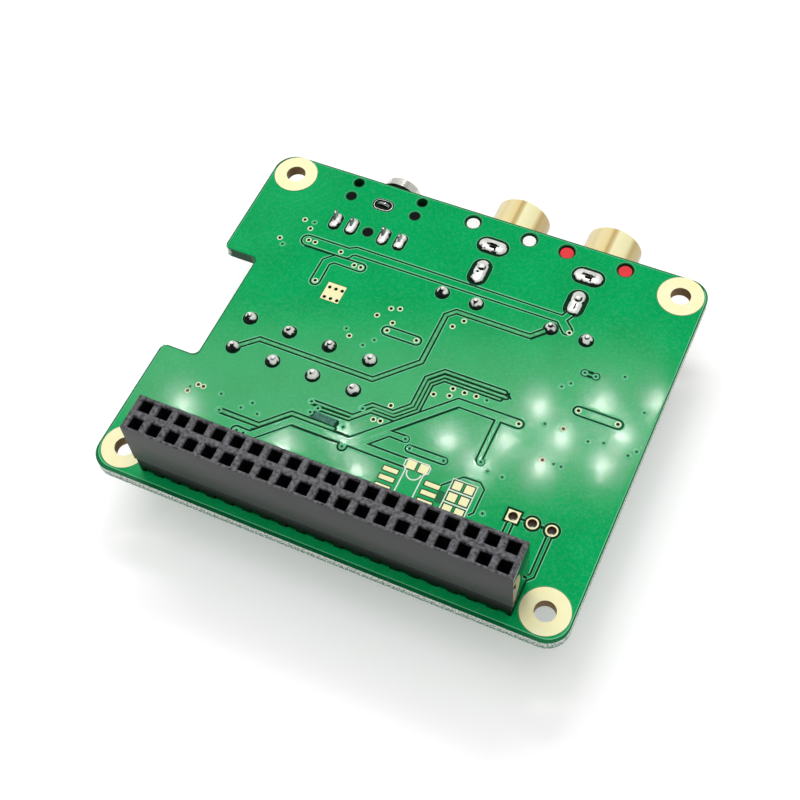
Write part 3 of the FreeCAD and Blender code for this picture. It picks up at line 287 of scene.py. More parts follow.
def pick(*pieces):
    """Selects these objects alone; the first becomes the active one."""
    bpy.ops.object.select_all(action="DESELECT")
    for piece in pieces:
        piece.select_set(True)
    bpy.context.view_layer.objects.active = pieces[0]


def joined(name, pieces):
    """Makes one object of several and names it."""
    pick(*pieces)
    if len(pieces) > 1:
        bpy.ops.object.join()
    piece = bpy.context.object
    piece.name = piece.data.name = name
    return piece


def wear(piece, *materials):
    """Gives a piece its materials, in the order of their numbers."""
    for material in materials:
        piece.data.materials.append(material)


def settle(piece):
    """Puts the place into the mesh, closes its seams and turns every face outward."""
    pick(piece)
    bpy.ops.object.transform_apply()
    bpy.ops.object.mode_set(mode="EDIT")
    bpy.ops.mesh.select_mode(type="VERT")
    bpy.ops.mesh.select_all(action="SELECT")
    bpy.ops.mesh.remove_doubles(threshold=1e-7)
    bpy.ops.mesh.normals_make_consistent(inside=False)
    bpy.ops.object.mode_set(mode="OBJECT")
    return piece


def taper(x, y, low, high, base, slope, sides=16):
    """A round post whose radius grows by the slope for each copper thickness of height."""
    low_radius, high_radius = ((base + slope * level / COPPER) * MM for level in (low, high))
    bpy.ops.mesh.primitive_cone_add(
        vertices=sides, radius1=low_radius, radius2=high_radius, depth=(high - low) * MM,
        location=(x * MM, y * MM, (low + high) / 2 * MM))
    return bpy.context.object


def strip(route, width, low, high, slope):
    """A flat strip along a route of straight runs, with sloping sides and round ends."""
    section = bpy.data.curves.new("section", "CURVE")
    outline = section.splines.new("POLY")
    outline.points.add(3)
    outline.use_cyclic_u = True
    half_low, half_high = (width / 2 + slope * height / COPPER for height in (low, high))
    for point, (across, up) in zip(outline.points, ((-half_low, low), (half_low, low), (half_high, high),
                                                    (-half_high, high))):
        point.co = (across * MM, up * MM, 0, 1)
    section_holder = bpy.data.objects.new("section", section)
    line = bpy.data.curves.new("strip", "CURVE")
    line.dimensions, line.twist_mode = "3D", "Z_UP"
    line.bevel_mode, line.bevel_object, line.use_fill_caps = "OBJECT", section_holder, True
    run = line.splines.new("POLY")
    run.use_smooth = False
    run.points.add(len(route) - 1)
    for point, (x, y) in zip(run.points, route):
        point.co = (x * MM, y * MM, 0, 1)
    strip_holder = bpy.data.objects.new("strip", line)
    bpy.context.collection.objects.link(strip_holder)
    pick(strip_holder)
    bpy.ops.object.convert(target="MESH")
    piece = settle(bpy.context.object)
    bpy.data.objects.remove(section_holder)
    ends = [taper(x, y, low * 1.01, high * 1.01, width / 2, slope) for x, y in (route[0], route[-1])]
    return [piece] + ends


def slab(left, front, right, back, low, high):
    """A box between two corners."""
    middle = ((left + right) / 2 * MM, (front + back) / 2 * MM, (low + high) / 2 * MM)
    bpy.ops.mesh.primitive_cube_add(size=1, location=middle)
    bpy.ops.transform.resize(value=((right - left) * MM, (back - front) * MM, (high - low) * MM))
    return bpy.context.object


def trim(piece, cutter, overlaps=False):
    """Cuts one object out of another and throws the cutter away."""
    pick(piece)
    change = piece.modifiers.new("cut", "BOOLEAN")
    change.operation, change.solver, change.object, change.use_self = "DIFFERENCE", "EXACT", cutter, overlaps
    bpy.ops.object.modifier_apply(modifier=change.name)
    bpy.data.objects.remove(cutter)
    return piece


def choose(piece, kind, wanted):
    """Goes into edit mode with those vertices, edges or faces selected that a test picks out."""
    pick(piece)
    bpy.ops.object.mode_set(mode="EDIT")
    bpy.ops.mesh.select_mode(type=kind)
    bpy.ops.mesh.select_all(action="DESELECT")
    bpy.ops.object.mode_set(mode="OBJECT")
    mesh = piece.data
    for item in {"VERT": mesh.vertices, "EDGE": mesh.edges, "FACE": mesh.polygons}[kind]:
        item.select = wanted(item)
    bpy.ops.object.mode_set(mode="EDIT")


def round_upright_edges(piece, radius, segments):
    """Rounds the four upright edges of a slab."""
    spots = settle(piece).data.vertices

    def upright(edge):
        first, second = (spots[end].co for end in edge.vertices)
        return (first - second).xy.length < 1e-7

    choose(piece, "EDGE", upright)
    bpy.ops.mesh.bevel(offset=radius * MM, segments=segments, affect="EDGES")
    bpy.ops.object.mode_set(mode="OBJECT")
    return piece


def copper_plate():
    """The unetched plane: a little smaller than the board, with a sloping border and the notch."""
    plate = slab(BOARD_LOW.x + RIM, BOARD_LOW.y + FRONT_RIM, BOARD_HIGH.x - RIM, BOARD_HIGH.y - RIM,
                 SEAT, COPPER)
    choose(round_upright_edges(plate, 2.8, 8), "FACE", lambda face: face.normal.z > 0.5)
    bpy.ops.transform.resize(value=(0.9975, 0.997, 1))
    bpy.ops.object.mode_set(mode="OBJECT")
    notch = slab(-34.0, -8.6 - RIM, -27.25 + RIM, 8.8 + RIM, -0.1, 0.2)
    return trim(plate, round_upright_edges(notch, 0.9, 5))


def staggered(number, low, high, sink=1):
    """The levels of a numbered cutter, a hair off those before it, so that no two faces coincide."""
    return low + sink * number * HAIR, high + 2 * number * HAIR


def gap_cutters(tracks):
    """What etches a gap on both sides of each track."""
    cutters = []
    for number, (width, route) in enumerate(tracks):
        cutters += strip(route, width + 2 * GAP, *staggered(number, FLOOR, 0.08), LIP)
    return cutters


def laid_tracks(tracks, lacquer):
    """The copper that is left between the gaps; lacquer names the skin for a width and a route."""
    laid = []
    for number, (width, route) in enumerate(tracks):
        pieces = strip(route, width, SEAT, COPPER + 3 * number * HAIR, -min(LIP, width / 6))
        for piece in pieces:
            wear(piece, lacquer(width, route))
        laid += pieces
    return laid


plane_of_copper = copper_plate()
cutters = gap_cutters(TRACKS)
for number, (width, route) in enumerate(BARE_STROKES):
    cutters += strip(route, width, *staggered(number, FLOOR - 0.0005, 0.075, -1), LIP)
for number, (left, front, right, back) in enumerate(BARE_BOXES):
    cutters.append(slab(left, front, right, back, *staggered(number, -0.04, 0.09, -2)))
for number, (x, y, radius) in enumerate(SUNK_ROUNDS):
    cutters.append(taper(x, y, *staggered(number, FLOOR + 0.0025, 0.11), radius, LIP / 2, 28))
for number, (x, y, radius) in enumerate(BARE_ROUNDS):
    cutters.append(taper(x, y, *staggered(number, -0.05, 0.1, -2), radius, LIP / 3, 28))
for number, (x, y, length, width, lies) in enumerate(SUNK_OVALS):
    step = (length - width) / 2
    ends = [(x - step, y), (x + step, y)] if lies == "x" else [(x, y - step), (x, y + step)]
    cutters += strip(ends, width, *staggered(number, FLOOR + 0.005, 0.12), LIP / 2)
for number, (x, y, across, along) in enumerate(LANDS):
    half_x, half_y = across / 2 + LAND_MARGIN, along / 2 + LAND_MARGIN
    cutters.append(slab(x - half_x, y - half_y, x + half_x, y + half_y,
                        *staggered(number, FLOOR + 0.007, 0.13)))
cutters.append(taper(*SPARE_PINS[0], -0.06, 0.15, 0.62, 0, 20))
trim(plane_of_copper, settle(joined("etched_away", cutters)), overlaps=True)

lacquer_on_copper = mottled("lacquer_on_copper", (0, 158, 84), (2, 168, 93), 160, 0.07, 0.09,
                            grain_scale=2600, relief=0.03, Specular_IOR_Level=0.16, Coat_Weight=0.03,
                            Coat_Roughness=0.03)


def add_shoulder_highlights(material):
    """Lighter lacquer on the copper's sloping edges: partly where it runs thin, partly a painted highlight.
    """
    tree = material.node_tree
    lay_over(material, maths(tree, "LESS_THAN", levelness(tree), 0.97), srgb(116, 208, 156))


def add_weave(material):
    """The glass cloth of the laminate shows through the lacquer as short crossed streaks."""
    tree = material.node_tree
    shader = tree.nodes["Principled BSDF"].inputs
    place = add(tree, "TexCoord", "Object")
    streaks = []
    for run in ((1400, 4200, 3000), (4200, 1400, 3000)):
        thread = add(tree, "Mapping", "Vector",
                     {"Vector": place, "Rotation": (0, 0, math.radians(24)), "Scale": run})
        streaks.append(add(tree, "TexNoise", "Fac", {"Vector": thread, "Scale": 1.0, "Detail": 3}))
    cloth = maths(tree, "ADD", *streaks)
    gloss = add(tree, "MapRange", "Result",
                {"Value": cloth, "From Min": 0.86, "From Max": 1.14, "To Min": 0.06, "To Max": 0.1})
    tree.links.new(gloss, shader["Roughness"])
    pale = add(tree, "MapRange", "Result",
               {"Value": cloth, "From Min": 0.9, "From Max": 1.3, "To Max": 0.09})
    lay_over(material, pale, srgb(120, 206, 156))
    relief = add(tree, "Bump", "Normal", {"Height": cloth, "Normal": shader["Normal"].links[0].from_socket,
                                          "Strength": 0.05, "Distance": 0.04 * MM})
    tree.links.new(relief, shader["Normal"])


add_shoulder_highlights(lacquer_on_copper)
add_weave(lacquer_on_copper)
# Painted highlight: a paler lacquer for the narrow tracks, for the sheen along their edges.
highlit_narrow_lacquer = mottled("highlit_narrow_lacquer", (58, 162, 98), (92, 186, 126), 1400, 0.12, 0.2,
                           Specular_IOR_Level=0.16)
gap_dark = mottled("gap_dark", (0, 38, 20), (6, 58, 34), 900, 0.4, 0.55, Specular_IOR_Level=0.05)
lacquer_on_resin = mottled("lacquer_on_resin", (20, 84, 66), (70, 132, 112), 2400, 0.2, 0.35,
                           Specular_IOR_Level=0.1)


def in_gap(face):
    """Whether a face is the bottom of an etched gap."""
    return face.normal.z > 0.5 and face.center.z < 3 * FLOOR * MM


wear(plane_of_copper, lacquer_on_copper, gap_dark, lacquer_on_resin)
left, front, right, back = RESIN_PATCH
for face in filter(in_gap, plane_of_copper.data.polygons):
    x, y, level = face.center / MM
    in_patch = left < x < right and front < y < back and face.area > 2 * MM ** 2
    face.material_index = 2 if in_patch else 1


def track_lacquer(width, route):
    """The narrow tracks of the left and the middle get a paler lacquer than the wide ones, a painted
    highlight along their edges.
    """
    return highlit_narrow_lacquer if width <= 0.5 and route[0][0] < 20 else lacquer_on_copper


solder_side_copper = joined("solder_side_copper", [plane_of_copper] + laid_tracks(TRACKS, track_lacquer))
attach(solder_side_copper, "root")

# Vias: small plated holes that tie the two faces together. Some are left open and show a pale
# gold ring round a hole painted dark as shade, the others are drowned in lacquer.
OPEN_VIAS = [
    (-23.98, 17.45), (-22.56, 16.29), (-21.87, 14.39), (-20.84, 14.39), (-16.73, 14.19), (-14.0, 12.8),
    (-13.0, 12.8), (-25.85, 13.25), (-17.9, 8.47), (-6.16, 8.11), (-5.0, 8.5), (-7.48, 6.4), (-5.0, 6.03),
    (-5.18, 4.66), (-0.87, 4.66), (-9.52, 1.98), (2.69, 8.53), (3.77, 9.92), (17.42, 13.42), (6.65, -0.4),
    (8.29, -0.4), (9.9, -0.32), (6.66, -1.56), (4.65, -2.13), (0.24, -5.8), (-0.98, -8.55),
    (-0.05, -8.42), (16.5, -2.03), (22.8, 2.68), (28.1, 2.68), (-24.7, -12.58), (-23.93, -12.58),
    (-25.6, -13.94), (22.0, -0.56), (21.2, -5.76),
]
DROWNED_VIAS = [
    (-25.0, 12.4), (21.53, 8.35), (23.03, 8.35), (20.43, 6.13), (19.5, 5.24), (26.5, 9.7), (30.6, 5.56),
    (19.56, -0.77), (25.5, -1.1), (27.4, -0.56), (31.6, -0.16), (30.8, -1.1), (22.7, -5.76),
    (23.7, -5.76), (-17.77, -13.56), (-16.7, -12.35), (-15.35, -13.6), (-21.2, -12.68), (-25.6, -13.24),
    (15.5, -9.9), (17.5, -9.95), (17.2, -15.55), (14.2, -9.0), (-20.27, -14.96), (-16.7, -16.8),
    (-15.7, -16.8), (-2.97, -7.6), (-9.6, -9.16), (-8.37, -9.8), (-9.05, -10.7), (-4.1, -11.06),
    (-3.0, -13.7), (4.05, -9.6), (5.1, -10.66), (9.8, -10.63), (-10.4, 2.9), (-7.2, 1.3), (-6.1, 2.6),
    (11.4, -0.35), (-22.5, 17.5),
]


def pull(x, y, z):
    """Extrudes what is selected by a step in millimetres."""
    bpy.ops.mesh.extrude_region_move(TRANSFORM_OT_translate={"value": (x * MM, y * MM, z * MM)})


def lathe(name, profile, sides):
    """A round shape raised ring by ring through (radius, height, x, y); a radius of 0 closes it."""
    profile = [tuple(ring) + (0, 0, 0, 0)[len(ring):] for ring in profile]
    radius, height, x, y = profile[0]
    start = (x * MM, y * MM, height * MM)
    bpy.ops.mesh.primitive_circle_add(vertices=sides, radius=radius * MM, location=start)
    piece = bpy.context.object
    piece.name = name
    bpy.ops.object.transform_apply()
    bpy.ops.object.mode_set(mode="EDIT")
    bpy.ops.mesh.select_mode(type="VERT")
    bpy.ops.mesh.select_all(action="SELECT")
    for (near, low, x, y), (far, high, next_x, next_y) in zip(profile, profile[1:]):
        pull(next_x - x, next_y - y, high - low)
        if far > 0:
            bpy.ops.transform.resize(value=(far / near, far / near, 1))
        else:
            bpy.ops.mesh.merge(type="CENTER")
    bpy.ops.object.mode_set(mode="OBJECT")
    return settle(piece)


def copies(name, model, spots):
    """One mesh made of a copy of the model at each spot; the model itself goes."""
    made = []
    for x, y in spots:
        twin = model.copy()
        twin.data = model.data.copy()
        twin.location = (x * MM, y * MM, 0)
        bpy.context.collection.objects.link(twin)
        made.append(twin)
    bpy.data.objects.remove(model)
    piece = joined(name, made)
    bpy.ops.object.transform_apply()
    return piece


def paint_hole(piece, rim, hole, radius):
    """Gives the faces of a round model inside a radius the look of a hole, and the rest the rim's."""
    wear(piece, rim, hole)
    for face in piece.data.polygons:
        face.material_index = int(face.center.xy.length < radius * MM)


ring_gold = mottled("ring_gold", (212, 228, 184), (234, 242, 208), 900, 0.4, 0.55, Metallic=0.2)
# Painted shade: a near-black for the inside of holes, pits and slots, where the shade falls.
painted_hole_shade = mottled("painted_hole_shade", (6, 14, 8), (18, 28, 16), 3000, 0.5, 0.7, Specular_IOR_Level=0.1)


def open_via():
    """A gold ring round a hole, on the upper face."""
    rings = [(0.42, 0.004 - COPPER), (0.42, 0), (0.39, 0.02), (0.27, 0.025), (0.24, 0.009), (0.23, 0.007),
             (0, 0.007)]
    model = lathe("open_via", [(radius, COPPER + height) for radius, height in rings], 14)
    # The hole's faces get painted shade.
    paint_hole(model, ring_gold, painted_hole_shade, 0.245)
    return model


open_vias = copies("open_vias", open_via(), OPEN_VIAS)
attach(open_vias, "root")

rings = [(0.44, 0.004 - COPPER), (0.44, 0), (0.35, 0.03), (0.28, 0.032), (0.19, 0.009), (0, 0.008)]
drowned_via = lathe("drowned_via", [(radius, COPPER + height) for radius, height in rings], 14)
paint_hole(drowned_via, lacquer_on_copper, gap_dark, 0.22)
drowned_vias = copies("drowned_vias", drowned_via, DROWNED_VIAS)
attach(drowned_vias, "root")

# Bare gold: rings round the screw holes, the heat pad and the lands of parts that are not
# fitted. It is plated flat and matt; the barrels of the holes are painted brown as shade, and the three open
# pin holes get a brown lining of painted shade.
bare_gold = mottled("bare_gold", (236, 230, 168), (246, 244, 196), 420, 0.4, 0.55, Metallic=0.1)
dress(bare_gold, "heat_pad", "bare_lands")
shaded_pin_barrel = bare_gold.copy()
shaded_pin_barrel.name = "shaded_pin_barrel"


def add_barrel_shade(material, brown):
    """Paints shade on the barrel below the face, as brown on its upright walls."""
    tree = material.node_tree
    inside = add(tree, "MapRange", "Result", {"Value": levelness(tree), "From Min": 0.7, "From Max": 0.3})
    lay_over(material, inside, brown)


# Painted shade: brown on the walls of the spare pin barrels.
add_barrel_shade(shaded_pin_barrel, srgb(104, 66, 48))
dress(shaded_pin_barrel, "spare_pin_rings")
ring_barrel = mottled("ring_barrel", (254, 246, 190), (255, 252, 206), 420, 0.45, 0.6, Metallic=0.05,
                      Specular_IOR_Level=0.2)
# Painted shade: a paler brown on the walls of the screw-hole barrels.
add_barrel_shade(ring_barrel, srgb(150, 122, 78))
dress(ring_barrel, "mounting_rings")
# Painted shade: a brown lining in the three open pin holes stands for the shade in them and hides the floor
# below.
shade_lining = lathe("shade_lining", [(0.52, -0.15), (0.52, -1.55), (0.34, -1.5), (0.4, -0.9), (0.46, -0.4),
                                    (0.52, -0.15)], 20)
shade_brown = mottled("shade_brown", (84, 50, 36), (124, 80, 58), 1500, 0.25, 0.45)
wear(shade_lining, shade_brown)
shade_linings = copies("shade_linings", shade_lining, SPARE_PINS)
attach(shade_linings, "root")
heat_hole = lathe("heat_hole", [(0.3, 0.049), (0.26, 0.056), (0.22, 0.054), (0, 0.052)], 12)
# Painted shade: the hole in the heat pad gets a near-black.
paint_hole(heat_hole, bare_gold, painted_hole_shade, 0.24)
heat_holes = copies("heat_holes", heat_hole, [(x, y) for x in (-15.5, -14.56, -13.6) for y in (6.48, 8.19)])
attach(heat_holes, "root")

# White print: plain outlines round the lands of the parts that are not fitted. The ink is
# screened onto the lacquer, so it stands a little proud.
PRINT = [
    [(5.85, -13.3), (5.85, -18.6)], [(8.3, -13.3), (8.3, -18.6)],
    [(5.85, -13.5), (5.4, -13.1), (5.4, -12.3), (5.75, -11.95), (8.45, -11.95), (8.8, -12.3), (8.8, -13.1),
     (8.3, -13.5)],
    [(7.1 + 0.95 * math.cos(math.radians(turn)), -13.7 + 0.95 * math.sin(math.radians(turn)))
     for turn in range(180, 361, 20)],
    [(12.0, -18.4), (12.0, -12.42), (15.3, -12.42), (15.3, -18.4)],
    [(12.0, -14.08), (15.3, -14.08)], [(12.0, -15.82), (15.3, -15.82)],
]


def printed(name, routes):
    """Thin raised lines of ink along several routes."""
    lines = []
    for number, route in enumerate(routes):
        lines += strip(route, 0.17, COPPER - 0.005, COPPER + 0.012 + 3 * number * HAIR, 0)
    return joined(name, lines)


white_print = printed("white_print", PRINT)
print_white = mottled("print_white", (214, 226, 214), (240, 244, 238), 1500, 0.5, 0.7)
wear(white_print, print_white)
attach(white_print, "root")

# Component side copper: the same lacquered plane on the hidden face, etched into short tracks
# between the chips and longer ones to the socket, with the far ends of the vias and white outlines.
FINE = 0.32
CHIP_STEP = 2.6
CHIP_X = [4.1 + CHIP_STEP * step for step in range(4)]
UNDER_TRACKS = [(FINE, [(x, 7.9), (x, 8.9)]) for x in CHIP_X]
UNDER_TRACKS += [(FINE, [(x, 1.1), (x, -0.9)]) for x in CHIP_X]
UNDER_TRACKS += [(FINE, [(x, -2.3), (x, -5.6 - 0.8 * step), (1.44 + PITCH * step, -8.26 - 0.86 * step),
                         (1.44 + PITCH * step, -22.0)]) for step, x in enumerate(CHIP_X)]
UNDER_TRACKS += [
    (0.9, [(21.6, -6.0), (21.6, -17.6), (24.3, -20.3), (24.3, -22.0)]),
    (0.9, [(27.4, -6.0), (27.4, -14.0)]),
    (0.6, [(20.65, -3.3), (20.65, -1.4), (19.7, -1.0)]), (0.6, [(28.35, -3.3), (28.35, -1.4), (27.5, -1.0)]),
    (0.5, [(-15.1, 9.5), (-15.1, 12.2), (-17.2, 14.3), (-17.2, 16.4)]),
    (0.5, [(-14.1, 9.5), (-14.1, 12.2), (-12.3, 14.0), (-12.3, 16.4)]),
    (FINE, [(-16.6, 7.0), (-18.4, 7.6)]), (FINE, [(-12.6, 7.0), (-10.8, 7.6)]),
    (FINE, [(-9.2, 5.0), (-4.6, 5.0), (-2.9, 3.3), (2.4, 3.3)]),
    (FINE, [(-9.2, 7.6), (-5.4, 7.6), (-2.4, 4.6), (2.4, 4.6)]),
]
UNDER_TRACKS += [(FINE, [(x, -13.8), (x, -18.2), (x + shift, -18.2 - abs(shift)), (x + shift, -22.0)])
                 for x, shift in ((-20.0, -1.42), (-17.4, -1.48), (-14.8, -1.54), (-12.2, -1.6))]
UNDER_PRINT = [(3.0, 1.0, 13.0, 8.0), (-16.9, 5.25, -12.35, 9.8)]
UNDER_PRINT += [(left, -6.3, left + 3.4, -2.9) for left in (19.9, 25.7)]
UNDER_PRINT += [(x - 2.9, -6.85, x + 2.9, 0.75) for x in FILM_X]
UNDER_PRINT += [(left, 10.65, left + 7.6, 15.55) for left in (-2.1, 13.6)]


def under(piece):
    """Turns a shape that was made for the upper face onto the lower one."""
    pick(piece)
    piece.scale.z, piece.location.z = -1, BOARD_LOW.z * MM
    return settle(piece)


under_plane = copper_plate()
cutters = [taper(x, y, -0.05, 0.1, 3.2, 0, 28) for x, y in SCREW_HOLES]
cutters += [taper(x, y, -0.06, 0.11, 0.85, 0, 24) for x, y in SPARE_PINS]
cutters += gap_cutters(UNDER_TRACKS)
trim(under_plane, settle(joined("etched_away", cutters)), overlaps=True)
wear(under_plane, lacquer_on_copper, gap_dark)
for face in under_plane.data.polygons:
    face.material_index = int(in_gap(face))
under_tracks = laid_tracks(UNDER_TRACKS, lambda width, route: lacquer_on_copper)
component_side_copper = under(joined("component_side_copper", [under_plane] + under_tracks))
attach(component_side_copper, "root")
under_vias = copies("under_vias", under(open_via()), OPEN_VIAS)
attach(under_vias, "root")
under_print = under(printed("under_print", [
    [(left, front), (right, front), (right, back), (left, back), (left, front)]
    for left, front, right, back in UNDER_PRINT]))
wear(under_print, print_white)
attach(under_print, "root")

# Stacking socket: a tall black moulding with forty square cells, on a spacer strip that is notched
# at each tail. Its top is dusty and mottled from the mould; the cells, the ends and the spacer strip are
# painted darker as shade, and the tails are soldered underneath.
COLUMN_X = [-23.96 + PITCH * column for column in range(20)]
CELL_SPOTS = [(x, -24.2 + PITCH / 2 * side) for x in COLUMN_X for side in (-1, 1)]
SPACER_TOP, CELL_FLOOR = 3.0, 4.0


def soften(piece, width, segments=2, angle=30):
    """Takes the sharpness off every edge, as a mould or a cutter leaves it."""
    pick(piece)
    change = piece.modifiers.new("soften", "BEVEL")
    change.width, change.segments = width * MM, segments
    change.limit_method, change.angle_limit = "ANGLE", math.radians(angle)
    bpy.ops.object.modifier_apply(modifier=change.name)
    bpy.ops.object.shade_smooth_by_angle(angle=math.radians(40))
    return piece


low, high = reach("socket_housing")
socket_case = slab(low.x, low.y, high.x, high.y, SPACER_TOP, high.z)
socket_case.name = socket_case.data.name = "socket_case"
cell = slab(-0.75, -0.75, 0.75, 0.75, CELL_FLOOR, high.z - 0.3)
choose(settle(cell), "FACE", lambda face: face.normal.z > 0.5)
pull(0, 0, 0.34)
bpy.ops.transform.resize(value=(1.2, 1.2, 1))
bpy.ops.object.mode_set(mode="OBJECT")
trim(settle(socket_case), copies("cells", cell, CELL_SPOTS))
soften(socket_case, 0.07)
socket_black = mottled("socket_black", (61, 62, 62), (68, 69, 69), 260, 0.42, 0.5,
                       grain_scale=3200, relief=0.15, Specular_IOR_Level=0.35)
socket_dust = mottled("socket_dust", (12, 11, 15), (118, 117, 122), 2300, 0.4, 0.62,
                      grain_scale=2600, relief=0.5, Specular_IOR_Level=0.4)
shaded_socket_end = mottled("shaded_socket_end", (26, 30, 28), (36, 40, 38), 260, 0.04, 0.07, relief=0.02, IOR=2.3)
painted_cell_shade = mottled("painted_cell_shade", (8, 8, 9), (18, 18, 19), 900, 0.5, 0.7, Specular_IOR_Level=0.1)
wear(socket_case, socket_black, socket_dust, shaded_socket_end, painted_cell_shade)
# Painted shade: faces inside the cells get a near-black, and the end faces a darker, glossy copy of the
# plastic.
for face in socket_case.data.polygons:
    spot = face.center / MM
    inside = low.x + 0.3 < spot.x < high.x - 0.3 and low.y + 0.3 < spot.y < high.y - 0.3
    if inside and spot.z < high.z - 0.2:
        face.material_index = 3
    elif face.normal.z > 0.3:
        face.material_index = 1
    elif abs(face.normal.x) > 0.9:
        face.material_index = 2
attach(socket_case, "root")
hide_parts("socket_housing")
# Painted shade: the spacer strip is painted much darker than the moulding above it, for the shade beneath the
# housing.
shaded_strip_black = mottled("shaded_strip_black", (6, 9, 8), (14, 18, 16), 900, 0.4, 0.6, Specular_IOR_Level=0.2)
ends = reach("socket_spacer")
spacer_strip = settle(slab(ends[0].x, low.y + 0.02, ends[1].x, high.y - 0.02, ends[0].z, SPACER_TOP))
trim(spacer_strip, copies("guides", slab(-0.45, -0.45, 0.45, 0.45, -1, 4), CELL_SPOTS))
feet = [slab(-0.65, y - 0.6, 0.65, y + 0.6, -0.5, 1.0) for y in (low.y, high.y)]
trim(spacer_strip, copies("feet", settle(joined("foot", feet)), [(x, 0) for x in COLUMN_X]))
wear(soften(spacer_strip, 0.05), shaded_strip_black)
spacer_strip.name = spacer_strip.data.name = "spacer_strip"
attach(spacer_strip, "root")
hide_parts("socket_spacer")
spring_metal = mottled("spring_metal", (96, 88, 68), (140, 128, 98), 900, 0.3, 0.45, Metallic=1.0)
dress(spring_metal, "socket_contacts")
tail_joint = lathe("tail_joint", [(0.95, 0.01), (0.94, 0.09), (0.82, 0.2), (0.64, 0.42), (0.52, 0.68),
                                  (0.46, 0.86), (0, 0.87)], 14)
bpy.ops.object.shade_smooth()
tail_joints = copies("tail_joints", under(tail_joint), CELL_SPOTS)
under_solder = mottled("under_solder", (176, 178, 178), (226, 228, 226), 1500, 0.15, 0.3,
                       grain_scale=2200, relief=0.35, Metallic=0.7)
wear(tail_joints, under_solder)
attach(tail_joints, "root")

# Phono jacks: one white and one red moulding pegged under the board edge, each with a turned and
# gold-plated shell, a pale insulator and a sprung centre tube.
white_moulding = mottled("white_moulding", (244, 244, 240), (253, 253, 250), 300, 0.35, 0.5)
red_moulding = mottled("red_moulding", (222, 40, 50), (236, 56, 62), 300, 0.4, 0.55,
                       Specular_IOR_Level=0.25)
turned_gold = mottled("turned_gold", (246, 228, 166), (254, 244, 192), 240, 0.14, 0.22, relief=0.08,
                      Metallic=0.05)


def add_reflection_stripes(material):
    """Paints the room's reflection on the nearly mirror-like turned barrel, as stripes along its length."""
    tree = material.node_tree
    turn = add(tree, "MapRange", "Result", {"Value": axis(tree, "Normal", "X"), "From Min": -1})
    stripes = ramp(tree, turn, [
        (0.0, srgb(228, 208, 158)), (0.3, srgb(246, 230, 176)), (0.44, srgb(236, 214, 150)),
        (0.49, srgb(186, 154, 88)), (0.53, srgb(204, 174, 106)), (0.58, srgb(255, 251, 204)),
        (0.8, srgb(254, 248, 194)), (0.87, srgb(206, 178, 112)), (1.0, srgb(230, 208, 150))])
    lay_over(material, 0.85, stripes)


add_reflection_stripes(turned_gold)
insulator = mottled("insulator", (220, 214, 196), (236, 230, 214), 400, 0.4, 0.55)
tinned = mottled("tinned", (176, 178, 180), (214, 216, 218), 800, 0.2, 0.38, Metallic=1.0)
# Painted reflection: the solder's pale colour stands for the bright room in its top, and its front sides get
# the dark room painted on.
solder = mottled("solder", (226, 227, 222), (252, 252, 246), 1500, 0.14, 0.3, grain_scale=2200,
                 relief=0.35, Metallic=0.2)


def add_dark_reflection(material, dark):
    """Paints the dark room's reflection on the solder's steep sides towards the front."""
    tree = material.node_tree
    normal = add(tree, "TexCoord", "Normal")
    faced = add(tree, "VectorMath", "Value", {0: normal, 1: (0.12, 0.5, 1)}, operation="DOT_PRODUCT")
    place = add(tree, "TexCoord", "Object")
    streak = add(tree, "TexNoise", "Fac", {"Vector": place, "Scale": 1300, "Detail": 1})
    broken = add(tree, "Math", "Value", {0: streak, 1: 2.2, 2: faced}, operation="MULTIPLY_ADD")
    share = add(tree, "MapRange", "Result", {"Value": broken, "From Min": 1.75, "From Max": 1.5})
    lay_over(material, share, dark)


add_dark_reflection(solder, srgb(14, 20, 16))
dress(white_moulding, "phono_body_left")
dress(red_moulding, "phono_body_right")
dress(turned_gold, "phono_shell_left", "phono_shell_right")
dress(insulator, "phono_insulator_left", "phono_insulator_right")


def stretch(piece, way, step):
    """Pulls the two halves of a round shape apart along x or y."""
    along = "xy".index(way)
    for sign in (-1, 1):
        choose(piece, "VERT", lambda spot: spot.co[along] * sign > 1e-6)
        shift = [0, 0, 0]
        shift[along] = sign * step * MM
        bpy.ops.transform.translate(value=shift)
        bpy.ops.object.mode_set(mode="OBJECT")
    return piece


def moved(piece, x, y, z=0):
    """Puts a shape at a spot and settles its place into the mesh."""
    pick(piece)
    piece.location = (x * MM, y * MM, z * MM)
    bpy.ops.object.transform_apply()
    return piece


def tongue(x, y, width, thick, low, high, corner):
    """A sheet-metal tab that stands upright with its two top corners cut round."""
    piece = settle(slab(x - width / 2, y - thick / 2, x + width / 2, y + thick / 2, low, high))
    spots = piece.data.vertices
    choose(piece, "EDGE", lambda edge: all(spots[end].co.z > (high - 0.01) * MM for end in edge.vertices)
           and abs(spots[edge.vertices[0]].co.y - spots[edge.vertices[1]].co.y) > thick / 2 * MM)
    bpy.ops.mesh.bevel(offset=corner * MM, segments=6, affect="EDGES")
    bpy.ops.object.mode_set(mode="OBJECT")
    return soften(piece, 0.05, 1)


def puddle(radius, height, way, step, x, y):
    """A low oval mound of solder."""
    rings = [(1.0, 0.0), (0.97, 0.35), (0.88, 0.7), (0.7, 0.92), (0.4, 1.0), (0, 1.02)]
    mound = lathe("puddle", [(radius * across, height * up + 0.005) for across, up in rings], 28)
    bpy.ops.object.shade_smooth()
    return moved(stretch(mound, way, step), x, y)


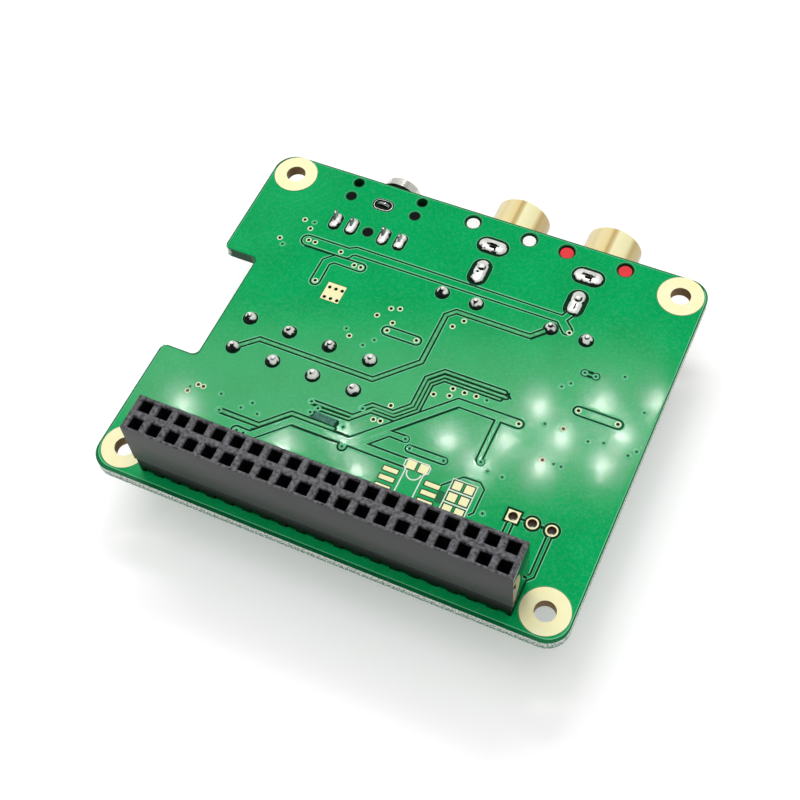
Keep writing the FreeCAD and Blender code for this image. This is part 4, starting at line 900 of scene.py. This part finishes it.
TUBE = [(0.05, 0), (2.2, 0), (2.2, 14.25), (2.05, 14.5), (1.85, 14.5), (1.65, 14.3), (1.65, 3.7), (0, 3.7)]
for side, x in zip(("left", "right"), PHONO_X):
    tube = lathe("tube", TUBE, 40)
    bpy.ops.transform.rotate(value=math.radians(90), orient_axis="X", center_override=(0, 0, 0))
    moved(tube, x, 19.3, -7.35)
    bpy.ops.object.shade_smooth_by_angle(angle=math.radians(35))
    tail = tongue(x, 18.2, 0.34, 2.1, -9.0, 0.3, 0.12)
    centre = joined(f"phono_centre_{side}", [tube, tail])
    wear(centre, tinned)
    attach(centre, "root")
    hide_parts(f"phono_contact_{side}")
    tab = tongue(x, 23.05, 2.2, 0.4, -3.67, 0.85, 1.0)
    tab.name = tab.data.name = f"phono_tab_{side}"
    wear(tab, solder)
    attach(tab, "root")
    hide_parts(f"phono_ground_{side}")

mounds = []
# Painted shade: dark pits set into the solder mounds.
pits = []
for x in PHONO_X:
    mounds.append(puddle(1.1, 0.34, "x", 0.95, x, 22.85))
    mounds.append(puddle(0.93, 0.36, "y", 1.1, x, 18.2))
    mounds.append(puddle(0.6, 0.72, "y", 0.1, x + 0.05, 18.95))
    long_pit = lathe("pit", [(0.26, 0.28), (0.2, 0.39), (0.1, 0.385), (0, 0.38)], 12)
    pits.append(moved(stretch(long_pit, "x", 0.3), x + 0.1, 22.6))
    round_pit = lathe("pit", [(0.2, 0.28), (0.15, 0.38), (0.1, 0.375), (0, 0.37)], 10)
    pits.append(moved(round_pit, x + 0.5, 22.25))
left_pit = lathe("pit", [(0.24, 0.3), (0.18, 0.4), (0.1, 0.395), (0, 0.39)], 10)
pits.append(moved(left_pit, PHONO_X[0] - 0.22, 18.0))
slit = lathe("slit", [(0.13, 0.3), (0.1, 0.395), (0, 0.39)], 10)
pits.append(moved(stretch(slit, "y", 0.42), PHONO_X[1] + 0.08, 17.5))
phono_joints = joined("phono_joints", mounds)
wear(phono_joints, solder)
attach(phono_joints, "root")
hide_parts("phono_solder")
phono_pits = joined("phono_pits", pits)
wear(phono_pits, painted_hole_shade)
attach(phono_pits, "root")

# Headphone jack: a low black moulding with a collar past the board edge and a bright nose. Its
# four blades were bent over before soldering; the sleeve tab stands in a slot painted dark as shade.
jack_black = mottled("jack_black", (5, 6, 6), (14, 15, 14), 500, 0.45, 0.6, Specular_IOR_Level=0.1)
bright_nose = mottled("bright_nose", (228, 226, 214), (248, 246, 238), 400, 0.15, 0.3, Metallic=0.6)
dress(jack_black, "jack_body")
dress(bright_nose, "jack_ferrule")
BLADE_LEANS = [(-0.45, 1.1), (-0.25, 0.7), (-0.4, 0.9), (-0.3, 0.6)]
BLADE_RISE = 0.9
blades = []
for (x, y), (lean_x, lean_y) in zip(JACK_PINS, BLADE_LEANS):
    blade = settle(slab(x - 0.2, y - 0.6, x + 0.2, y + 0.6, -4.8, 0.05))
    choose(blade, "FACE", lambda face: face.normal.z > 0.5)
    for share, narrow in ((0.45, 0.85), (0.55, 0.6)):
        pull(share * lean_x, share * lean_y, share * BLADE_RISE)
        bpy.ops.transform.resize(value=(0.9, narrow, 1))
    bpy.ops.object.mode_set(mode="OBJECT")
    blades.append(soften(blade, 0.06))
blades.append(tongue(*JACK_SLEEVE, 2.1, 0.45, -4.0, 0.5, 0.9))
jack_blades = joined("jack_blades", blades)
wear(jack_blades, tinned)
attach(jack_blades, "root")
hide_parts("jack_contacts")
joints = [puddle(0.66, 0.4, "y", 0.72, x, y) for x, y in JACK_PINS]
jack_joints = joined("jack_joints", joints + [puddle(0.92, 0.06, "x", 0.5, *JACK_SLEEVE)])
wear(jack_joints, solder, painted_hole_shade)
# Painted shade: the top of the sleeve's solder, round the tab, is painted near-black.
for face in jack_joints.data.polygons:
    face.material_index = int(face.center.y > 22 * MM and face.center.z > 0.04 * MM)
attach(jack_joints, "root")
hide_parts("jack_solder")

# Film capacitors: moulded boxes that stand under the board on two wires and four small feet. The
# sides are drawn in a little towards the far end, which is dished inside a flat rim.
film_blue = mottled("film_blue", (34, 66, 138), (44, 80, 158), 300, 0.3, 0.45, relief=0.3)
FILM_NODES = [f"film_capacitor_{number}" for number in range(1, 5)]
FILM_NODES += [f"output_capacitor_{side}" for side in ("left", "right")]
for node in FILM_NODES:
    low, high = reach(node)
    box = settle(slab(low.x, low.y, high.x, high.y, low.z, high.z - 0.35))
    choose(box, "FACE", lambda face: face.normal.z < -0.5)
    bpy.ops.transform.resize(value=(0.975, 0.975, 1))
    bpy.ops.mesh.inset(thickness=0.7 * MM)
    bpy.ops.mesh.inset(thickness=0.15 * MM, depth=-0.14 * MM)
    bpy.ops.object.mode_set(mode="OBJECT")
    soften(box, 0.3, 3)
    feet = [soften(settle(slab(x - 0.45, y - 0.45, x + 0.45, y + 0.45, high.z - 0.5, high.z)), 0.08)
            for x in (low.x + 0.75, high.x - 0.75) for y in (low.y + 0.75, high.y - 0.75)]
    case = joined(node.replace("capacitor", "case"), [box] + feet)
    wear(case, film_blue)
    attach(case, "root")
    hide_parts(node)

# Solder on the capacitor leads: a bright fillet that climbs each wire. The wires were bent over a
# little, most of them away from the socket, and then clipped.
LEANS = [(-0.16, 0.14), (-0.1, 0.2), (0.1, 0.18), (-0.2, 0.1), (-0.05, 0.22), (0.12, 0.16), (-0.18, 0.16),
         (0.06, 0.2), (-0.06, 0.24), (-0.12, 0.1), (-0.16, 0.2), (0.08, 0.12)]
FILLET = [(0.3, -1.6), (0.3, 0.0), (0.86, 0.01), (0.86, 0.12), (0.82, 0.28), (0.74, 0.42), (0.62, 0.53),
          (0.48, 0.6), (0.36, 0.65), (0.31, 0.72), (0.29, 0.84), (0.25, 0.89), (0, 0.9)]
joints = []
for number, ((x, y), (lean_x, lean_y)) in enumerate(zip(FILM_LEADS, LEANS)):
    grow = 0.94 + 0.03 * (number * 7 % 5)
    rings = []
    for radius, height in FILLET:
        bend = max(height, 0) ** 1.5
        rings.append((radius * (grow if radius > 0.3 else 1), height, x + lean_x * bend, y + lean_y * bend))
    joints.append(lathe("joint", rings, 20))
    bpy.ops.object.shade_smooth_by_angle(angle=math.radians(50))
film_joints = joined("film_joints", joints)
wear(film_joints, solder)
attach(film_joints, "root")
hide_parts("capacitor_solder", "capacitor_leads")

# Chips: black epoxy moulded round the lead frame, so each body is widest at the parting line and
# has a small dimple over its first lead. The leads are tinned copper.
chip_black = mottled("chip_black", (22, 22, 23), (38, 38, 40), 1200, 0.5, 0.7)
CHIPS = [("converter_chip", 0.3, 0.45), ("amplifier_chip", 0.04, 0.25), ("regulator_1", 0.2, 0.16),
         ("regulator_2", 0.2, 0.16)]
PARTING = 0.03
for node, draft, dimple in CHIPS:
    low, high = reach(node)
    middle = (low.z + high.z) / 2
    shell = settle(slab(low.x, low.y, high.x, high.y, middle - PARTING, middle + PARTING))
    for sign, end in ((-1, low.z), (1, high.z)):
        choose(shell, "FACE", lambda face: face.normal.z * sign > 0.5)
        pull(0, 0, end - middle - sign * PARTING)
        bpy.ops.transform.resize(value=(1 - draft / (high.x - low.x), 1 - draft / (high.y - low.y), 1))
        bpy.ops.object.mode_set(mode="OBJECT")
    soften(shell, 0.04, 2, 20)
    dent = lathe("dent", [(dimple * 1.1, -0.05), (dimple * 0.8, 0.05), (dimple * 0.4, 0.09), (0, 0.1)], 16)
    moved(dent, low.x + draft + dimple * 1.6, low.y + draft + dimple * 1.6, low.z)
    choose(dent, "VERT", lambda spot: spot.co.z < (low.z - 0.04) * MM)
    bpy.ops.mesh.edge_face_add()
    bpy.ops.object.mode_set(mode="OBJECT")
    body = trim(shell, settle(dent))
    body.name = body.data.name = node + "_body"
    wear(body, chip_black)
    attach(body, "root")
    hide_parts(node)
dress(tinned, "converter_leads", "amplifier_pads", "regulator_leads")

# Chip capacitors and resistors: ceramic blocks with a tinned cap round each end, soldered down with
# a small wedge of solder at each cap.
CAPACITOR_SPOTS = {"y": [(x, 9.4) for x in CHIP_X] + [(19.6 + CHIP_STEP * step, -0.6) for step in range(4)],
                   "x": [(-19.2, 5.0 + CHIP_STEP * step) for step in range(3)]}
RESISTOR_SPOTS = {"y": [(x, -1.6) for x in CHIP_X] + [(-20.0 + CHIP_STEP * step, -13.0) for step in range(4)],
                  "x": [(-10.0, 5.0 + CHIP_STEP * step) for step in range(3)]}
ceramic_tan = mottled("ceramic_tan", (150, 112, 72), (176, 134, 90), 900, 0.4, 0.55)
resistor_black = mottled("resistor_black", (20, 20, 22), (40, 40, 42), 900, 0.3, 0.45)


def chip_part(way, height, skin):
    """One block with its two caps and solder wedges, lying along x or y on the upper face."""
    block = settle(slab(-0.56, -0.37, 0.56, 0.37, 0.02, height - 0.02))
    wear(soften(block, 0.04), skin)
    pieces = [block]
    wedge_top, wedge_toe = height * 0.6, COPPER + 0.02
    for sign in (-1, 1):
        cap = settle(slab(0.65 * sign - 0.15, -0.4, 0.65 * sign + 0.15, 0.4, 0.0, height))
        wear(soften(cap, 0.06), tinned)
        wedge = slab(0.925 * sign - 0.175, -0.42, 0.925 * sign + 0.175, 0.42, COPPER - 0.01, wedge_top)
        choose(settle(wedge), "VERT", lambda spot: spot.co.z > 0.1 * MM and spot.co.x * sign > 1.0 * MM)
        bpy.ops.transform.translate(value=(0, 0, (wedge_toe - wedge_top) * MM))
        bpy.ops.object.mode_set(mode="OBJECT")
        wear(soften(wedge, 0.05, 2, 20), under_solder)
        pieces += [cap, wedge]
    part = joined("chip_part", pieces)
    if way == "y":
        bpy.ops.transform.rotate(value=math.radians(90), orient_axis="Z", center_override=(0, 0, 0))
    return under(part)


for name, spots, height, skin, node, slot in (
        ("capacitor_chips", CAPACITOR_SPOTS, 0.8, ceramic_tan, "chip_capacitors", "ceramic_tan"),
        ("resistor_chips", RESISTOR_SPOTS, 0.45, resistor_black, "chip_resistors", "resistor_black")):
    chips = joined(name, [copies(name, chip_part(way, height, skin), spots[way]) for way in ("y", "x")])
    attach(chips, "root")
    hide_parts(node)

# Floor: a plain pale sheet that the board stands on. It keeps the soft shadow, and a little glow of
# its own, for the camera and for mirror images alone, brings it up to white.
bpy.ops.mesh.primitive_plane_add(size=20, location=(0, 0, -12.45 * MM))
floor = bpy.context.object
floor.name = "floor"
floor_white = bpy.data.materials.new("floor_white")
floor_white.use_nodes = True
tree = floor_white.node_tree
shader = tree.nodes["Principled BSDF"].inputs
shader["Base Color"].default_value = (0.72, 0.72, 0.72, 1)
shader["Roughness"].default_value = 0.6
shader["Specular IOR Level"].default_value = 0.1
shader["Emission Color"].default_value = (1, 1, 1, 1)
path = tree.nodes.new("ShaderNodeLightPath").outputs
seen = maths(tree, "MAXIMUM", path["Is Camera Ray"], path["Is Glossy Ray"])
tree.links.new(maths(tree, "MULTIPLY", seen, 0.38), shader["Emission Strength"])
wear(floor, floor_white)

# Light: a pale room with a wide soft window overhead and two panels. Long lamps behind the board, one
# within the other, show as a band of haze in the lacquer, and small bulbs show as soft spots.
world = bpy.data.worlds.new("room")
bpy.context.scene.world = world
world.use_nodes = True
tree = world.node_tree
background = tree.nodes["Background"].inputs
background["Color"].default_value = (1, 1, 1, 1)
sight = add(tree, "NewGeometry", "Incoming")
facing = add(tree, "VectorMath", "Value", {0: sight, 1: (0.35, -0.75, -0.56)}, operation="DOT_PRODUCT")
shade = add(tree, "MapRange", "Result",
            {"Value": facing, "From Min": -0.5, "From Max": 0.4, "To Min": 0.44, "To Max": 0.07})
tree.links.new(shade, background["Strength"])
EYE = Vector((48.937, -84.635, 152.275)) * MM
MIDDLE = Vector((0, 0, 0))


def stand(place, back, across):
    """The stand of a lamp or a camera, from the way its back points and a direction across it."""
    back = back.normalized()
    across = (across - across.dot(back) * back).normalized()
    turn = Matrix((across, back.cross(across), back)).transposed()
    return Matrix.Translation(place) @ turn.to_4x4()


def lamp(name, place, target, width, height, power, along):
    """A flat lamp that shines from its place at a target, its width lying along a direction."""
    light = bpy.data.lights.new(name, "AREA")
    light.shape, light.size, light.size_y, light.energy = "RECTANGLE", width, height, power
    holder = bpy.data.objects.new(name, light)
    holder.matrix_world = stand(place, place - target, along)
    bpy.context.collection.objects.link(holder)
    return holder


for name, place in (("left_panel", Vector((-0.62, 0.3, 0.46))), ("right_panel", Vector((0.62, 0.38, 0.4)))):
    lamp(name, place, MIDDLE, 0.7, 0.7, 0.55, Vector((0, 1, 0)))
sun = bpy.data.lights.new("window", "SUN")
sun.energy, sun.angle = 1.74, math.radians(58)
window = bpy.data.objects.new("window", sun)
window.matrix_world = Vector((-0.07, 0.08, 0.98)).to_track_quat("Z", "Y").to_matrix().to_4x4()
bpy.context.collection.objects.link(window)
window.visible_glossy = False
MIRROR_REACH = 0.45


def seen_in_lacquer(x, y):
    """The place in the room whose mirror image stands at this spot of the board."""
    spot = Vector((x, y, 0)) * MM
    sight = EYE - spot
    return spot + Vector((-sight.x, -sight.y, sight.z)).normalized() * MIRROR_REACH


band_start, band_end = seen_in_lacquer(-33, -16.5), seen_in_lacquer(33, 5)
band = band_end - band_start
for width, power in ((0.025, 0.08), (0.045, 0.13), (0.065, 0.13), (0.085, 0.05)):
    lamp(f"band_{width}", (band_start + band_end) / 2, MIDDLE, band.length, width, power, band)
BULB, BULB_POWER = 0.0052, 0.018
SPOTS = [(18, 1.2), (25.2, 4.8), (29.2, 1.2), (22.3, -2), (28.4, -3.7), (15.8, -4.8), (21.3, -6.9),
         (9, -7.6), (-10, -16.3), (0.3, -16), (-25, -16), (31.7, 7.5), (-3.5, -12.2), (14, -9.5)]
for number, (x, y) in enumerate(SPOTS):
    spot = Vector((x, y, 0)) * MM
    bulb = lamp(f"bulb_{number}", seen_in_lacquer(x, y), spot, BULB, BULB, BULB_POWER, Vector((1, 0, 0)))
    bulb.data.shape = "DISK"

# Camera: where the photograph was taken from, solved from the screw holes and the socket's cells.
# It looks at a spot near the middle of the board and is tilted a little to one side.
LOOKS_AT = Vector((0.969, -4.561, 0)) * MM
TILT = math.radians(-7.288)
PICTURE_WIDTH, FOCAL_LENGTH = 800, 1377.43
view = bpy.data.cameras.new("view")
view.sensor_width = 36
view.lens = FOCAL_LENGTH / PICTURE_WIDTH * view.sensor_width
view.clip_start = 0.005
camera = bpy.data.objects.new("camera", view)
back = EYE - LOOKS_AT
across = Matrix.Rotation(TILT, 3, back) @ Vector((0, 0, 1)).cross(back)
camera.matrix_world = stand(EYE, back, across)
bpy.context.collection.objects.link(camera)
bpy.context.scene.camera = camera
bpy.context.scene.view_settings.view_transform = "Standard"
